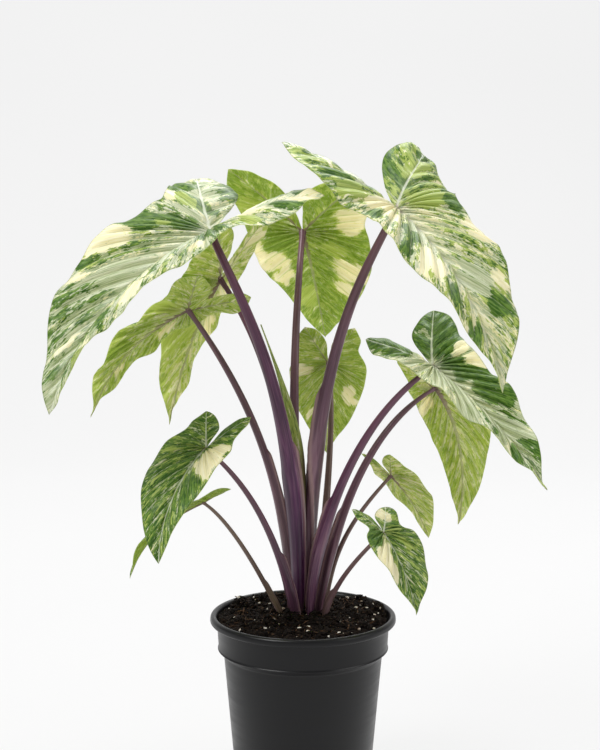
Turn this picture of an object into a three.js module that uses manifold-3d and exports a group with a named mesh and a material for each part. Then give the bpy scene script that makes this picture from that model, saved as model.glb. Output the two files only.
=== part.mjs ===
// A potted blue taro: a black nursery pot of soil with twelve arrow-shaped leaves on long stalks.
// Millimetres, +Z up. The origin is the middle of the pot's foot, and the plant's front faces -Y.
import * as THREE from 'three';
import { mergeVertices } from 'three/addons/utils/BufferGeometryUtils.js';
import Module from 'manifold-3d';

const wasm = await Module();
wasm.setup();

// Pot: moulded thin plastic with a rolled rim, a deep collar and a tapering body
const POT_HEIGHT = 167.5;
const RIM_RADIUS = 82.5;
const RIM_INNER_RADIUS = 76.6;
const RIM_DEPTH = 7;
const COLLAR_RADIUS = 76.3;
const COLLAR_DEPTH = 31;
const COLLAR_TAPER = 1.2;
const COLLAR_SLOPE = 4;
const LIP_ROUND = 1.5;
const BODY_TOP_RADIUS = 70.5;
const FOOT_RADIUS = 59;
const FOOT_ROUND = 2;
const WALL = 1.6;
const FLOOR = 2.5;
const POT_SIDES = 48;
const DRAIN_COUNT = 8;
const DRAIN_RADIUS = 5.5;
const DRAIN_CIRCLE = 45;
const DRAIN_SIDES = 16;

// Soil: fills the pot to a little below the rim and is heaped round the plant
const FIT_GAP = 0.3;
const SOIL_EDGE_HEIGHT = 163.5;
const SOIL_HEAP = 4.5;
const SOIL_LUMP = 1.1;
const SOIL_LUMP_SPACING = 7;
const SOIL_SIDES = 36;
const CROWN_X = 4;
const CROWN_Y = 8;
const CROWN_HOLE_RADIUS = 27;
const CROWN_HOLE_FLARE = 0.45;
const CROWN_HOLE_FLOOR = 148;
const CROWN_HOLE_DEPTH = 30;

// Leaf blades and stalks
const BLADE_EDGE = 0.8;
const BLADE_SPINE = 1.6;
const SINUS_SPREAD = 0.28;
const SINUS_LIMIT = 0.72;
const LOBE_BULGE = 0.42;
const BULGE_LIMIT = 0.66;
const DROOP_POWER = 1.3;
const MIDRIB_STEPS = 24;
const LARGE_BLADE = 120;
const LARGE_MESH = { ribVeins: 5, fanVeins: 3, midribVeins: 10, rows: 3 };
const SMALL_MESH = { ribVeins: 4, fanVeins: 2, midribVeins: 6, rows: 2 };
const STALK_SIDES = 8;
const STALK_STEPS = 12;
const STALK_CLEARANCE = BLADE_SPINE - BLADE_EDGE / 2 + FIT_GAP;
const BELLY_STEP = 0.28;
const TAPER_POWER = 0.45;
const SHEATH_FLATNESS = 0.6;
const STALK_END_STEP = 0.75;

const degrees = Math.PI / 180;
const colours = {
  pot: { color: '#202022', roughness: 0.45 },
  soil: { color: '#2c211c', roughness: 1 },
  stalk: { color: '#5b3a4f', roughness: 0.5 },
  blade: { color: '#7f9b52', roughness: 0.5 },
  rolled: { color: '#6f7a4a', roughness: 0.5 },
};

// Each leaf hangs from its junction, where the stalk meets the blade. Lengths are in millimetres and
// angles in degrees. heading is the way the tip points, 0 along +X and 90 away from the viewer; pitch
// is how far the midrib falls at the junction and droop how much more it falls by the tip; roll tips
// the blade's left side up. lobe is how long the two back lobes are. spread, fold, curl, tuck and lift are
// for the left and right half: the lobe's turn from straight back, the half's rise from the midrib, its
// bend back down, how much more its lobe folds up, and how much that lobe's rib rises.
// foot is the stalk's place in the crown: its distance from the crown's middle and its direction. rise
// and arrive are the stalk's directions at its two ends and how far it keeps them: azimuth, elevation
// and length. stalk is its half width at the foot, at its swollen sheath and under the blade.
const leaves = [
  {
    name: 'tall_left', junction: [-76, -55, 505], length: 210, width: 62, lobe: 104, spread: [50, 66],
    heading: 215, pitch: 22, droop: 48, roll: -25, fold: [52, 18], curl: [35, 22], tuck: [0, -8],
    lift: [2, -42], wave: 4, waves: 4,
    foot: [11, 214], rise: [0, 89, 210], arrive: [150, 62, 85], stalk: [5.5, 10, 3],
  },
  {
    name: 'tall_right', junction: [77, -45, 525], length: 188, width: 56, lobe: 106, spread: [52, 42],
    heading: -46, pitch: 33, droop: 42, roll: 18, fold: [25, 42], curl: [50, 35], tuck: [0, 35],
    lift: [36, -42], wave: 4, waves: 4,
    foot: [8.6, 78], rise: [170, 89, 250], arrive: [-30, 62, 60], stalk: [5.5, 8.5, 3],
  },
  {
    name: 'tall_back', junction: [0, 110, 503], length: 150, width: 62, lobe: 93, spread: [42, 42],
    heading: 77, pitch: 42, droop: 12, roll: 0, fold: [20, 5], curl: [15, 15], tuck: [0, 0],
    lift: [2, 0], wave: 2.5, waves: 3,
    foot: [20, 97], rise: [150, 84, 170], arrive: [78, 66, 90], stalk: [5, 6, 2.7],
  },
  {
    name: 'middle_left', junction: [-100, 0, 438], length: 150, width: 25, lobe: 56, spread: [42, 42],
    heading: 152, pitch: 25, droop: 45, roll: 22, fold: [10, 10], curl: [10, 10], tuck: [0, 0],
    lift: [0, 10], wave: 3.5, waves: 4,
    foot: [16.5, 166], rise: [0, 88, 130], arrive: [180, 54, 85], stalk: [4, 7, 2.2],
  },
  {
    name: 'middle_left_back', junction: [-75, 60, 461], length: 165, width: 36, lobe: 70, spread: [25, 25],
    heading: 131, pitch: 50, droop: 25, roll: 10, fold: [5, 40], curl: [15, 20], tuck: [0, 0],
    lift: [0, 0], wave: 4, waves: 4,
    foot: [19, 134], rise: [60, 86, 160], arrive: [150, 50, 80], stalk: [4, 5.5, 2.3],
  },
  {
    name: 'low_left_front', junction: [-81, -65, 327], length: 110, width: 36, lobe: 46, spread: [34, 34],
    heading: 233, pitch: 30, droop: 58, roll: -15, fold: [42, 15], curl: [30, 35], tuck: [0, 0],
    lift: [0, 0], wave: 1.5, waves: 3,
    foot: [17.9, 247], rise: [225, 76, 50], arrive: [200, 40, 75], stalk: [3.5, 6, 1.8],
  },
  {
    name: 'low_left', junction: [-87, -20, 272], length: 95, width: 20, lobe: 30, spread: [30, 30],
    heading: 187, pitch: 24, droop: 50, roll: 20, fold: [15, 20], curl: [20, 20], tuck: [0, 0],
    lift: [-15, 0], wave: 1.5, waves: 3,
    foot: [17.5, 193], rise: [190, 70, 25], arrive: [195, 33, 35], stalk: [3, 3.8, 1.5],
  },
  {
    name: 'middle_back', junction: [24, 95, 380], length: 100, width: 36, lobe: 46, spread: [30, 30],
    heading: 92, pitch: 58, droop: 20, roll: 0, fold: [10, 10], curl: [10, 10], tuck: [0, 0],
    lift: [5, -5], wave: 2, waves: 3,
    foot: [17, 60], rise: [40, 86, 90], arrive: [105, 62, 60], stalk: [3.8, 4.6, 2],
  },
  {
    name: 'middle_right', junction: [110, -35, 392], length: 150, width: 32, lobe: 62, spread: [42, 42],
    heading: -44, pitch: 28, droop: 22, roll: 20, fold: [48, 38], curl: [35, 25], tuck: [-10, 0],
    lift: [8, 0], wave: 4, waves: 4,
    foot: [14, -86], rise: [-25, 88, 110], arrive: [-15, 34, 70], stalk: [4, 8, 2.2],
  },
  {
    name: 'middle_right_back', junction: [118, 25, 366], length: 150, width: 35, lobe: 44, spread: [36, 36],
    heading: 55, pitch: 40, droop: 72, roll: -36, fold: [50, 12], curl: [20, 15], tuck: [0, 0],
    lift: [20, 0], wave: 3.5, waves: 4,
    foot: [9, -34], rise: [8, 83, 105], arrive: [10, 26, 65], stalk: [3.8, 7, 2.2],
  },
  {
    name: 'low_right_back', junction: [80, 45, 283], length: 82, width: 26, lobe: 34, spread: [32, 32],
    heading: 40, pitch: 42, droop: 25, roll: -15, fold: [28, 12], curl: [20, 20], tuck: [0, 0],
    lift: [0, 0], wave: 1.5, waves: 3,
    foot: [16, 26], rise: [28, 88, 70], arrive: [25, 42, 50], stalk: [3.2, 3.6, 1.6],
  },
  {
    name: 'low_right_front', junction: [68, -50, 252], length: 76, width: 31, lobe: 33, spread: [42, 42],
    heading: -48, pitch: 44, droop: 33, roll: 10, fold: [6, 36], curl: [20, 20], tuck: [0, 0],
    lift: [-30, -25], wave: 2, waves: 3,
    foot: [16.2, -40], rise: [-50, 84, 40], arrive: [-35, 44, 40], stalk: [3.2, 3.6, 1.6],
  },
];

// The youngest leaf is still rolled up and stands among the tall stalks
const ROLLED = {
  tip: [-37, 10, 424], lean: [172, 69], rise: 150, arrive: 110,
  foot: 2.6, belly: 5.4, point: 0.6, swellFrom: 0.2, swellTo: 0.55,
};

// A closed geometry becomes a solid that can be cut, and a cut solid becomes a geometry again
function solidOf(geometry) {
  geometry.deleteAttribute('normal');
  geometry.deleteAttribute('uv');
  const merged = mergeVertices(geometry, 1e-4);
  const vertProperties = new Float32Array(merged.attributes.position.array);
  const triVerts = new Uint32Array(merged.index.array);
  return new wasm.Manifold(new wasm.Mesh({ numProp: 3, vertProperties, triVerts }));
}

function geometryOf(solid) {
  const mesh = solid.getMesh();
  return geometryFrom(Array.from(mesh.vertProperties), Array.from(mesh.triVerts));
}

function geometryFrom(positions, triangles) {
  const geometry = new THREE.BufferGeometry();
  geometry.setAttribute('position', new THREE.Float32BufferAttribute(positions, 3));
  geometry.setIndex(triangles);
  geometry.computeVertexNormals();
  return geometry;
}

function meshOf(name, geometry, look) {
  const material = new THREE.MeshStandardMaterial({ ...look, metalness: 0 });
  const mesh = new THREE.Mesh(geometry, material);
  mesh.name = name;
  return mesh;
}

// A profile of radius and height pairs turned round the Z axis
function turned(profile, sides) {
  const points = profile.map(([radius, height]) => new THREE.Vector2(radius, height));
  return new THREE.LatheGeometry(points, sides).rotateX(Math.PI / 2);
}

function direction(azimuth, elevation) {
  const flat = Math.cos(elevation * degrees);
  return new THREE.Vector3(
    flat * Math.cos(azimuth * degrees),
    flat * Math.sin(azimuth * degrees),
    Math.sin(elevation * degrees),
  );
}

// Radius of the pot's inner wall at its corners, from the floor up
const collarFoot = POT_HEIGHT - COLLAR_DEPTH;
const innerWall = [
  [FOOT_RADIUS - WALL, FLOOR],
  [BODY_TOP_RADIUS - WALL, collarFoot - COLLAR_SLOPE / 2],
  [COLLAR_RADIUS - COLLAR_TAPER - WALL, collarFoot + COLLAR_SLOPE / 2],
  [COLLAR_RADIUS - WALL, POT_HEIGHT - RIM_DEPTH],
];

function buildPot() {
  const outline = [
    [0, 0],
    [FOOT_RADIUS - FOOT_ROUND, 0],
    [FOOT_RADIUS, FOOT_ROUND],
    [BODY_TOP_RADIUS, collarFoot - COLLAR_SLOPE],
    [COLLAR_RADIUS - COLLAR_TAPER, collarFoot],
    [COLLAR_RADIUS, POT_HEIGHT - RIM_DEPTH],
    [RIM_RADIUS - LIP_ROUND / 2, POT_HEIGHT - RIM_DEPTH],
    [RIM_RADIUS, POT_HEIGHT - RIM_DEPTH + LIP_ROUND],
    [RIM_RADIUS, POT_HEIGHT - LIP_ROUND],
    [RIM_RADIUS - LIP_ROUND, POT_HEIGHT],
    [RIM_INNER_RADIUS + LIP_ROUND, POT_HEIGHT],
    [RIM_INNER_RADIUS, POT_HEIGHT - LIP_ROUND],
    ...innerWall.toReversed(),
    [0, FLOOR],
  ];
  let pot = solidOf(turned(outline, POT_SIDES));
  for (let i = 0; i < DRAIN_COUNT; i += 1) {
    const angle = (i + 0.5) * 2 * Math.PI / DRAIN_COUNT;
    const drain = new THREE.CylinderGeometry(DRAIN_RADIUS, DRAIN_RADIUS, 4 * FLOOR, DRAIN_SIDES);
    drain.rotateX(Math.PI / 2);
    drain.translate(DRAIN_CIRCLE * Math.cos(angle), DRAIN_CIRCLE * Math.sin(angle), 0);
    pot = pot.subtract(solidOf(drain));
  }
  return geometryOf(pot);
}

// Height of the soil: a low heap round the crown with lumps of bark and peat
function soilHeight(x, y, edge) {
  const out = Math.min(1, Math.hypot(x, y) / edge);
  const heap = SOIL_HEAP * (1 - out ** 2);
  const [u, v] = [x / SOIL_LUMP_SPACING, y / SOIL_LUMP_SPACING];
  const lumps = Math.sin(u + 1) * Math.cos(0.9 * v) + 0.6 * Math.sin(1.5 * (u + v));
  return SOIL_EDGE_HEIGHT + heap + SOIL_LUMP * lumps;
}

function buildSoil() {
  const [, , , [wallTop]] = innerWall;
  const edge = wallTop - 2 * FIT_GAP;
  const side = innerWall.slice(0, 3).map(([radius, height]) => [radius - 2 * FIT_GAP, height + FIT_GAP]);
  const rings = [1, 0.88, 0.74, 0.6, 0.46, 0.3, 0.15];
  const top = rings.map((share) => [edge * share, SOIL_EDGE_HEIGHT]);
  const profile = [[0, FLOOR + FIT_GAP], ...side, ...top, [0, SOIL_EDGE_HEIGHT]];
  const heap = turned(profile, SOIL_SIDES);
  const place = heap.attributes.position;
  for (let i = 0; i < place.count; i += 1) {
    if (place.getZ(i) > SOIL_EDGE_HEIGHT - 1) {
      place.setZ(i, soilHeight(place.getX(i), place.getY(i), edge));
    }
  }
  const mouth = CROWN_HOLE_RADIUS + CROWN_HOLE_DEPTH * CROWN_HOLE_FLARE;
  const hole = new THREE.CylinderGeometry(mouth, CROWN_HOLE_RADIUS, CROWN_HOLE_DEPTH, SOIL_SIDES);
  hole.rotateX(Math.PI / 2);
  hole.translate(CROWN_X, CROWN_Y, CROWN_HOLE_FLOOR + CROWN_HOLE_DEPTH / 2);
  return geometryOf(solidOf(heap).subtract(solidOf(hole)));
}

// The midrib's place and frame at distances along it, for the left (+1) or right (-1) half. Behind the
// junction the distance is negative and the line carries that side's back lobe.
function midribFrame(leaf, side) {
  const lift = leaf.lift[side > 0 ? 0 : 1];
  const angles = (x) => {
    const along = Math.max(0, x / leaf.length);
    const behind = Math.max(0, -x / leaf.lobe);
    return leaf.pitch + leaf.droop * along ** DROOP_POWER + lift * behind;
  };
  const tangent = (x) => direction(leaf.heading, -angles(x));
  return (x) => {
    const point = new THREE.Vector3(...leaf.junction);
    for (let i = 0; i < MIDRIB_STEPS; i += 1) {
      point.addScaledVector(tangent(x * (i + 0.5) / MIDRIB_STEPS), x / MIDRIB_STEPS);
    }
    const along = tangent(x);
    const up = direction(leaf.heading, 90 - angles(x));
    const left = new THREE.Vector3().crossVectors(up, along);
    left.multiplyScalar(Math.cos(leaf.roll * degrees)).addScaledVector(up, Math.sin(leaf.roll * degrees));
    const normal = new THREE.Vector3().crossVectors(along, left);
    return { point, left, normal };
  };
}

// The blade laid flat: x runs along the midrib from the junction, y out from it, one half only
function flatOutline(leaf, side) {
  const { length, width, lobe } = leaf;
  const spread = leaf.spread[side > 0 ? 0 : 1] * degrees;
  const bulge = Math.min(LOBE_BULGE, BULGE_LIMIT * Math.cos(spread));
  const rib = new THREE.Vector2(-Math.cos(spread), Math.sin(spread));
  const outward = new THREE.Vector2(Math.sin(spread), Math.cos(spread));
  const beside = (share, offset) => rib.clone().multiplyScalar(share * lobe)
    .addScaledVector(outward, offset * lobe);
  const outer = new THREE.SplineCurve([
    beside(1, 0),
    beside(0.82, 0.62 * bulge),
    beside(0.5, bulge),
    new THREE.Vector2(0.07 * length, width),
    new THREE.Vector2(0.22 * length, 0.99 * width),
    new THREE.Vector2(0.38 * length, 0.93 * width),
    new THREE.Vector2(0.55 * length, 0.77 * width),
    new THREE.Vector2(0.72 * length, 0.53 * width),
    new THREE.Vector2(0.86 * length, 0.28 * width),
    new THREE.Vector2(0.95 * length, 0.1 * width),
    new THREE.Vector2(length, 0),
  ]);
  // the two lobes' inner edges stay apart: neither comes near the line between them
  const slope = Math.tan(spread);
  const inside = (share, offset) => beside(share, -Math.min(offset, SINUS_LIMIT * share * slope));
  const inner = new THREE.SplineCurve([
    beside(1, 0),
    inside(0.82, 0.62 * SINUS_SPREAD),
    inside(0.5, SINUS_SPREAD),
    inside(0.2, 0.55 * SINUS_SPREAD),
    new THREE.Vector2(0, 0),
  ]);
  return { rib, outer, inner };
}

// A point of one half of the blade, from its flat place: the half rises from the midrib by its fold,
// bends back down by its curl, and is waved more and more towards the margin
function bladePoint(leaf, side, frame, flat, waveShare, waveStep) {
  const half = side > 0 ? 0 : 1;
  const behind = Math.max(0, -flat.x / leaf.lobe);
  const fold = (leaf.fold[half] + leaf.tuck[half] * behind) * degrees;
  const curl = leaf.curl[half] * degrees;
  const out = fold - curl * flat.y / leaf.width;
  const across = leaf.width / curl * (Math.sin(fold) - Math.sin(out));
  const wave = leaf.wave * waveShare ** 2 * Math.sin(2 * Math.PI * (leaf.waves * waveStep + half / 2));
  const rise = leaf.width / curl * (Math.cos(out) - Math.cos(fold)) + wave;
  const { point, left, normal } = frame(flat.x);
  return point.addScaledVector(left, side * across).addScaledVector(normal, rise);
}

// One blade: both halves as rows of points from the ribs to the margins, given a thickness after
function buildBlade(leaf) {
  const { ribVeins, fanVeins, midribVeins, rows } = leaf.length > LARGE_BLADE ? LARGE_MESH : SMALL_MESH;
  const veins = ribVeins + fanVeins + midribVeins;
  const points = [];
  const spine = [];
  const triangles = [];
  const known = new Map();
  const keep = (point, onSpine) => {
    const key = point.toArray().map((value) => Math.round(value * 100)).join(' ');
    if (!known.has(key)) {
      known.set(key, points.length);
      points.push(point);
      spine.push(onSpine);
    }
    return known.get(key);
  };
  const sheet = (count, deep, pointAt, flip) => {
    const grid = [];
    for (let i = 0; i <= count; i += 1) {
      grid.push([]);
      for (let j = 0; j <= deep; j += 1) {
        grid[i].push(keep(pointAt(i / count, j / deep), j === 0));
      }
    }
    for (let i = 0; i < count; i += 1) {
      for (let j = 0; j < deep; j += 1) {
        const [a, b] = [grid[i][j], grid[i + 1][j]];
        const [c, d] = [grid[i + 1][j + 1], grid[i][j + 1]];
        const faces = flip ? [[a, c, b], [a, d, c]] : [[a, b, c], [a, c, d]];
        faces.filter((face) => new Set(face).size === 3).forEach((face) => triangles.push(face));
      }
    }
  };
  for (const side of [1, -1]) {
    const { rib, outer, inner } = flatOutline(leaf, side);
    const frame = midribFrame(leaf, side);
    // the veins leave the back rib, then fan out from the junction, then leave the midrib
    const ribAt = (vein) => {
      if (vein < ribVeins) {
        return rib.clone().multiplyScalar(leaf.lobe * (1 - vein / ribVeins));
      }
      const along = Math.max(0, vein - ribVeins - fanVeins) / midribVeins;
      return new THREE.Vector2(leaf.length * along, 0);
    };
    sheet(veins, rows, (step, share) => {
      const flat = ribAt(Math.round(step * veins)).lerp(outer.getPointAt(step), share);
      return bladePoint(leaf, side, frame, flat, share, step);
    }, side < 0);
    sheet(ribVeins, 1, (step, share) => {
      const flat = rib.clone().multiplyScalar(leaf.lobe * (1 - step)).lerp(inner.getPointAt(step), share);
      return bladePoint(leaf, side, frame, flat, 0, 0);
    }, side > 0);
  }
  return thicken(points, spine, triangles);
}

// A sheet of points and triangles made a closed body: the same triangles on both faces and a rim
function thicken(points, spine, triangles) {
  const normals = points.map(() => new THREE.Vector3());
  const edges = new Map();
  for (const [a, b, c] of triangles) {
    const first = points[b].clone().sub(points[a]);
    const normal = first.cross(points[c].clone().sub(points[a])).normalize();
    [a, b, c].forEach((corner) => normals[corner].add(normal));
    [[a, b], [b, c], [c, a]].forEach(([from, to]) => {
      if (edges.has(`${to} ${from}`)) {
        edges.delete(`${to} ${from}`);
      } else {
        edges.set(`${from} ${to}`, [from, to]);
      }
    });
  }
  const positions = [];
  for (const face of [1, -1]) {
    points.forEach((point, i) => {
      const below = spine[i] ? BLADE_SPINE - BLADE_EDGE / 2 : BLADE_EDGE / 2;
      const offset = face > 0 ? BLADE_EDGE / 2 : -below;
      const moved = point.clone().addScaledVector(normals[i].clone().normalize(), offset);
      positions.push(...moved.toArray());
    });
  }
  const n = points.length;
  const faces = [];
  for (const [a, b, c] of triangles) {
    faces.push(a, b, c, n + a, n + c, n + b);
  }
  for (const [from, to] of edges.values()) {
    faces.push(from, n + from, n + to, from, n + to, to);
  }
  return geometryFrom(positions, faces);
}

// A tapering stalk along a curve. Its sections are ellipses, wide across and thin the other way. The
// first one is level and the last one lies along the blade that it carries.
function buildStalk(curve, sizes, across, end) {
  const positions = [];
  const faces = [];
  const turn = 2 * Math.PI / STALK_SIDES;
  for (let i = 0; i <= STALK_STEPS; i += 1) {
    const step = i / STALK_STEPS;
    const centre = curve.getPoint(step);
    const turning = Math.max(0, (step - STALK_END_STEP) / (1 - STALK_END_STEP));
    const along = curve.getTangent(step).lerp(end, turning).normalize();
    if (i === 0) {
      along.set(0, 0, 1);
    }
    const wide = across.clone().addScaledVector(along, -across.dot(along)).normalize();
    const thin = new THREE.Vector3().crossVectors(along, wide);
    const [halfWidth, halfThick] = sizes(step);
    for (let j = 0; j < STALK_SIDES; j += 1) {
      const point = centre.clone().addScaledVector(wide, halfWidth * Math.cos(j * turn));
      positions.push(...point.addScaledVector(thin, halfThick * Math.sin(j * turn)).toArray());
    }
  }
  for (let i = 0; i < STALK_STEPS; i += 1) {
    for (let j = 0; j < STALK_SIDES; j += 1) {
      const next = (j + 1) % STALK_SIDES;
      const [a, b] = [i * STALK_SIDES + j, i * STALK_SIDES + next];
      const [c, d] = [b + STALK_SIDES, a + STALK_SIDES];
      faces.push(a, b, c, a, c, d);
    }
  }
  const last = STALK_STEPS * STALK_SIDES;
  for (let j = 1; j < STALK_SIDES - 1; j += 1) {
    faces.push(0, j + 1, j, last, last + j, last + j + 1);
  }
  return geometryFrom(positions, faces);
}

function footOf([distance, azimuth]) {
  const foot = direction(azimuth, 0).multiplyScalar(distance);
  return foot.add(new THREE.Vector3(CROWN_X, CROWN_Y, CROWN_HOLE_FLOOR + FIT_GAP));
}

// The stalk rises from the crown, leans out and arrives under the blade. It is flattened where it
// sheathes its neighbours, up to its belly, and grows rounder and thinner above.
function buildPetiole(leaf) {
  const { normal } = midribFrame(leaf, 1)(0);
  const [footWidth, bellyWidth, topRadius] = leaf.stalk;
  const foot = footOf(leaf.foot);
  const top = new THREE.Vector3(...leaf.junction).addScaledVector(normal, -STALK_CLEARANCE);
  const curve = stalkCurve(foot, leaf.rise, top, leaf.arrive);
  const sizes = (step) => {
    const swell = THREE.MathUtils.smoothstep(step, 0, BELLY_STEP);
    const taper = Math.max(0, (step - BELLY_STEP) / (1 - BELLY_STEP)) ** TAPER_POWER;
    const lower = THREE.MathUtils.lerp(footWidth, bellyWidth, swell);
    const wide = THREE.MathUtils.lerp(lower, topRadius, taper);
    return [wide, wide * THREE.MathUtils.lerp(SHEATH_FLATNESS, 1, taper)];
  };
  const away = top.clone().sub(foot);
  const across = new THREE.Vector3(-away.y, away.x, 0).normalize();
  return buildStalk(curve, sizes, across, normal);
}

// A smooth curve that leaves and arrives along two given directions
function stalkCurve(from, [riseAzimuth, riseElevation, rise], to, [azimuth, elevation, arrive]) {
  return new THREE.CubicBezierCurve3(
    from,
    from.clone().addScaledVector(direction(riseAzimuth, riseElevation), rise),
    to.clone().addScaledVector(direction(azimuth, elevation), -arrive),
    to,
  );
}

// The rolled leaf is thin where it stands among the stalks, swells above them and ends in a point
function buildRolledLeaf() {
  const foot = footOf([4, 173]);
  const tip = new THREE.Vector3(...ROLLED.tip);
  const curve = stalkCurve(foot, [0, 90, ROLLED.rise], tip, [...ROLLED.lean, ROLLED.arrive]);
  const sizes = (step) => {
    const swell = THREE.MathUtils.smoothstep(step, ROLLED.swellFrom, ROLLED.swellTo);
    const taper = THREE.MathUtils.smoothstep(step, ROLLED.swellTo, 1);
    const lower = THREE.MathUtils.lerp(ROLLED.foot, ROLLED.belly, swell);
    const radius = THREE.MathUtils.lerp(lower, ROLLED.point, taper);
    return [radius, radius];
  };
  return buildStalk(curve, sizes, new THREE.Vector3(1, 0, 0), direction(...ROLLED.lean));
}

const plant = new THREE.Group();
plant.add(meshOf('pot', buildPot(), colours.pot));
plant.add(meshOf('soil', buildSoil(), colours.soil));
for (const leaf of leaves) {
  plant.add(meshOf(`${leaf.name}_petiole`, buildPetiole(leaf), colours.stalk));
  plant.add(meshOf(`${leaf.name}_blade`, buildBlade(leaf), colours.blade));
}
plant.add(meshOf('rolled_leaf', buildRolledLeaf(), colours.rolled));

export default plant;
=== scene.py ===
"""The looks of a potted taro: nursery pot, potting mix, variegated blades, purple stalks."""
import math
from functools import reduce

import bpy
import numpy as np
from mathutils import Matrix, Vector, noise


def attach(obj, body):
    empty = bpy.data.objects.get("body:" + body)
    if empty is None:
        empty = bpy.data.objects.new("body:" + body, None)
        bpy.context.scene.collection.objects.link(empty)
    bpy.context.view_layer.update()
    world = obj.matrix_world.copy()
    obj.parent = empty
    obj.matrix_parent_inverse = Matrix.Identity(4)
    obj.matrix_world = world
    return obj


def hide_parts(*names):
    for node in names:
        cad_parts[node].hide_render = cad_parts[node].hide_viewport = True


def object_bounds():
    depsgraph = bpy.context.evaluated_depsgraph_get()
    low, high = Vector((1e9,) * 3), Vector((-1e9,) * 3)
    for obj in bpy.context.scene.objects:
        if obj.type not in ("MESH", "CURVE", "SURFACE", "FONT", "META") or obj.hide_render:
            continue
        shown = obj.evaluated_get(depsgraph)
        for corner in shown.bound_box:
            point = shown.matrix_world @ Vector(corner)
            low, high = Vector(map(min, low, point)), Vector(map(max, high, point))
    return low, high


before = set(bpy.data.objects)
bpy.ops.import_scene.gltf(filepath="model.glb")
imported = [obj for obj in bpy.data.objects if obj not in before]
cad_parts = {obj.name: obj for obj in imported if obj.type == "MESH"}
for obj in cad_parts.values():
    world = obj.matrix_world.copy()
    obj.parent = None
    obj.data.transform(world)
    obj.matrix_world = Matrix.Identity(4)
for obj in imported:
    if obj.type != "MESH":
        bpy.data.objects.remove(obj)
cad_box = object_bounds()


# ------------------------------------------------------------------ Nursery pot
# One thin-walled pot of black polypropylene, injection moulded in one shot: a rolled lip for
# stiffness, a straight collar that the stacked pots rest on, a tapering body and a holed floor.
MM = 0.001
POT_HEIGHT = 167.5
LIP_RADIUS = 82.5
LIP_INSIDE = 76.6
LIP_DEPTH = 7.0
COLLAR_RADIUS = 76.3
COLLAR_FOOT = 136.5
COLLAR_TAPER = 1.2
STEP_SLOPE = 4.0
STEP_BEAD = 0.9
BODY_TOP_RADIUS = 70.5
FOOT_RADIUS = 59.0
POT_WALL = 1.6
POT_FLOOR = 2.5
POT_CORNERS = 1.1
POT_TURNS = 144
DRAIN_HOLES = 8
DRAIN_RADIUS = 5.5
DRAIN_CIRCLE = 45.0
DRAIN_TURNS = 32
SHARP_EDGE = math.radians(50)


def linear(code):
    """An sRGB hex colour as the linear colour that a shader works in."""
    parts = [int(code[i:i + 2], 16) / 255 for i in (1, 3, 5)]
    return [c / 12.92 if c < 0.04045 else ((c + 0.055) / 1.055) ** 2.4 for c in parts] + [1.0]


def add(tree, kind, inputs=None, **settings):
    """One node with its settings, and its inputs as links or as plain values."""
    node = tree.nodes.new(kind)
    for name, value in settings.items():
        setattr(node, name, value)
    for name, value in (inputs or {}).items():
        if isinstance(value, bpy.types.NodeSocket):
            tree.links.new(value, node.inputs[name])
        else:
            node.inputs[name].default_value = value
    return node


def out_of(tree, kind, inputs=None, **settings):
    """The first output of a new node."""
    return add(tree, kind, inputs, **settings).outputs[0]


def between(tree, value, low, high, start=0.0, end=1.0):
    """A smooth step of a value from one limit to another."""
    limits = {"Value": value, "From Min": low, "From Max": high, "To Min": start, "To Max": end}
    return out_of(tree, "ShaderNodeMapRange", limits, interpolation_type="SMOOTHSTEP")


def mixed(tree, share, first, second):
    """One colour laid over another by a share."""
    inputs = {0: share, 6: first, 7: second}
    return add(tree, "ShaderNodeMix", inputs, data_type="RGBA").outputs[2]


def toned(tree, share, first, second):
    """One hex colour that turns into another as a share rises."""
    return mixed(tree, share, linear(first), linear(second))


def grain(tree, place, size, detail=3.0, roughness=0.55, distortion=0.0):
    """Noise whose grains are about so many of the place's units across."""
    inputs = {"Vector": place, "Scale": 1 / size, "Detail": detail, "Roughness": roughness,
              "Distortion": distortion}
    return out_of(tree, "ShaderNodeTexNoise", inputs)


def new_finish(name, roughness, ior=1.45, specular=0.5):
    """A material with its one shader, whose even values sit on its own sockets."""
    material = bpy.data.materials.new(name)
    material.use_nodes = True
    tree = material.node_tree
    tree.nodes.clear()
    values = {"Roughness": roughness, "IOR": ior, "Specular IOR Level": specular}
    shader = add(tree, "ShaderNodeBsdfPrincipled", values)
    add(tree, "ShaderNodeOutputMaterial", {"Surface": shader.outputs[0]})
    return material, tree, shader


def cover(tree, shader, colour, height=None, strength=0.0, depth=0.0):
    """Gives a shader its colour and its low relief, whose depth is in millimetres."""
    tree.links.new(colour, shader.inputs["Base Color"])
    if height is None:
        return None
    relief = out_of(tree, "ShaderNodeBump",
                    {"Height": height, "Strength": strength, "Distance": depth * MM})
    tree.links.new(relief, shader.inputs["Normal"])
    return relief


def set_down(piece, slot, *nodes):
    """A finished piece rides on the plant's one body and stands for its nodes."""
    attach(piece, "root")
    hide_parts(*nodes)


def new_piece(name, points, faces, material):
    """A smooth mesh from points in millimetres."""
    mesh = bpy.data.meshes.new(name)
    mesh.from_pydata([tuple(p) for p in np.asarray(points) * MM], [], faces)
    mesh.materials.append(material)
    mesh.polygons.foreach_set("use_smooth", [True] * len(mesh.polygons))
    mesh.update()
    piece = bpy.data.objects.new(name, mesh)
    bpy.context.scene.collection.objects.link(piece)
    return piece


def settled(piece):
    """The plain mesh that a piece's modifiers make of it."""
    graph = bpy.context.evaluated_depsgraph_get()
    mesh = bpy.data.meshes.new_from_object(piece.evaluated_get(graph))
    piece.modifiers.clear()
    piece.data = mesh
    return mesh


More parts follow.
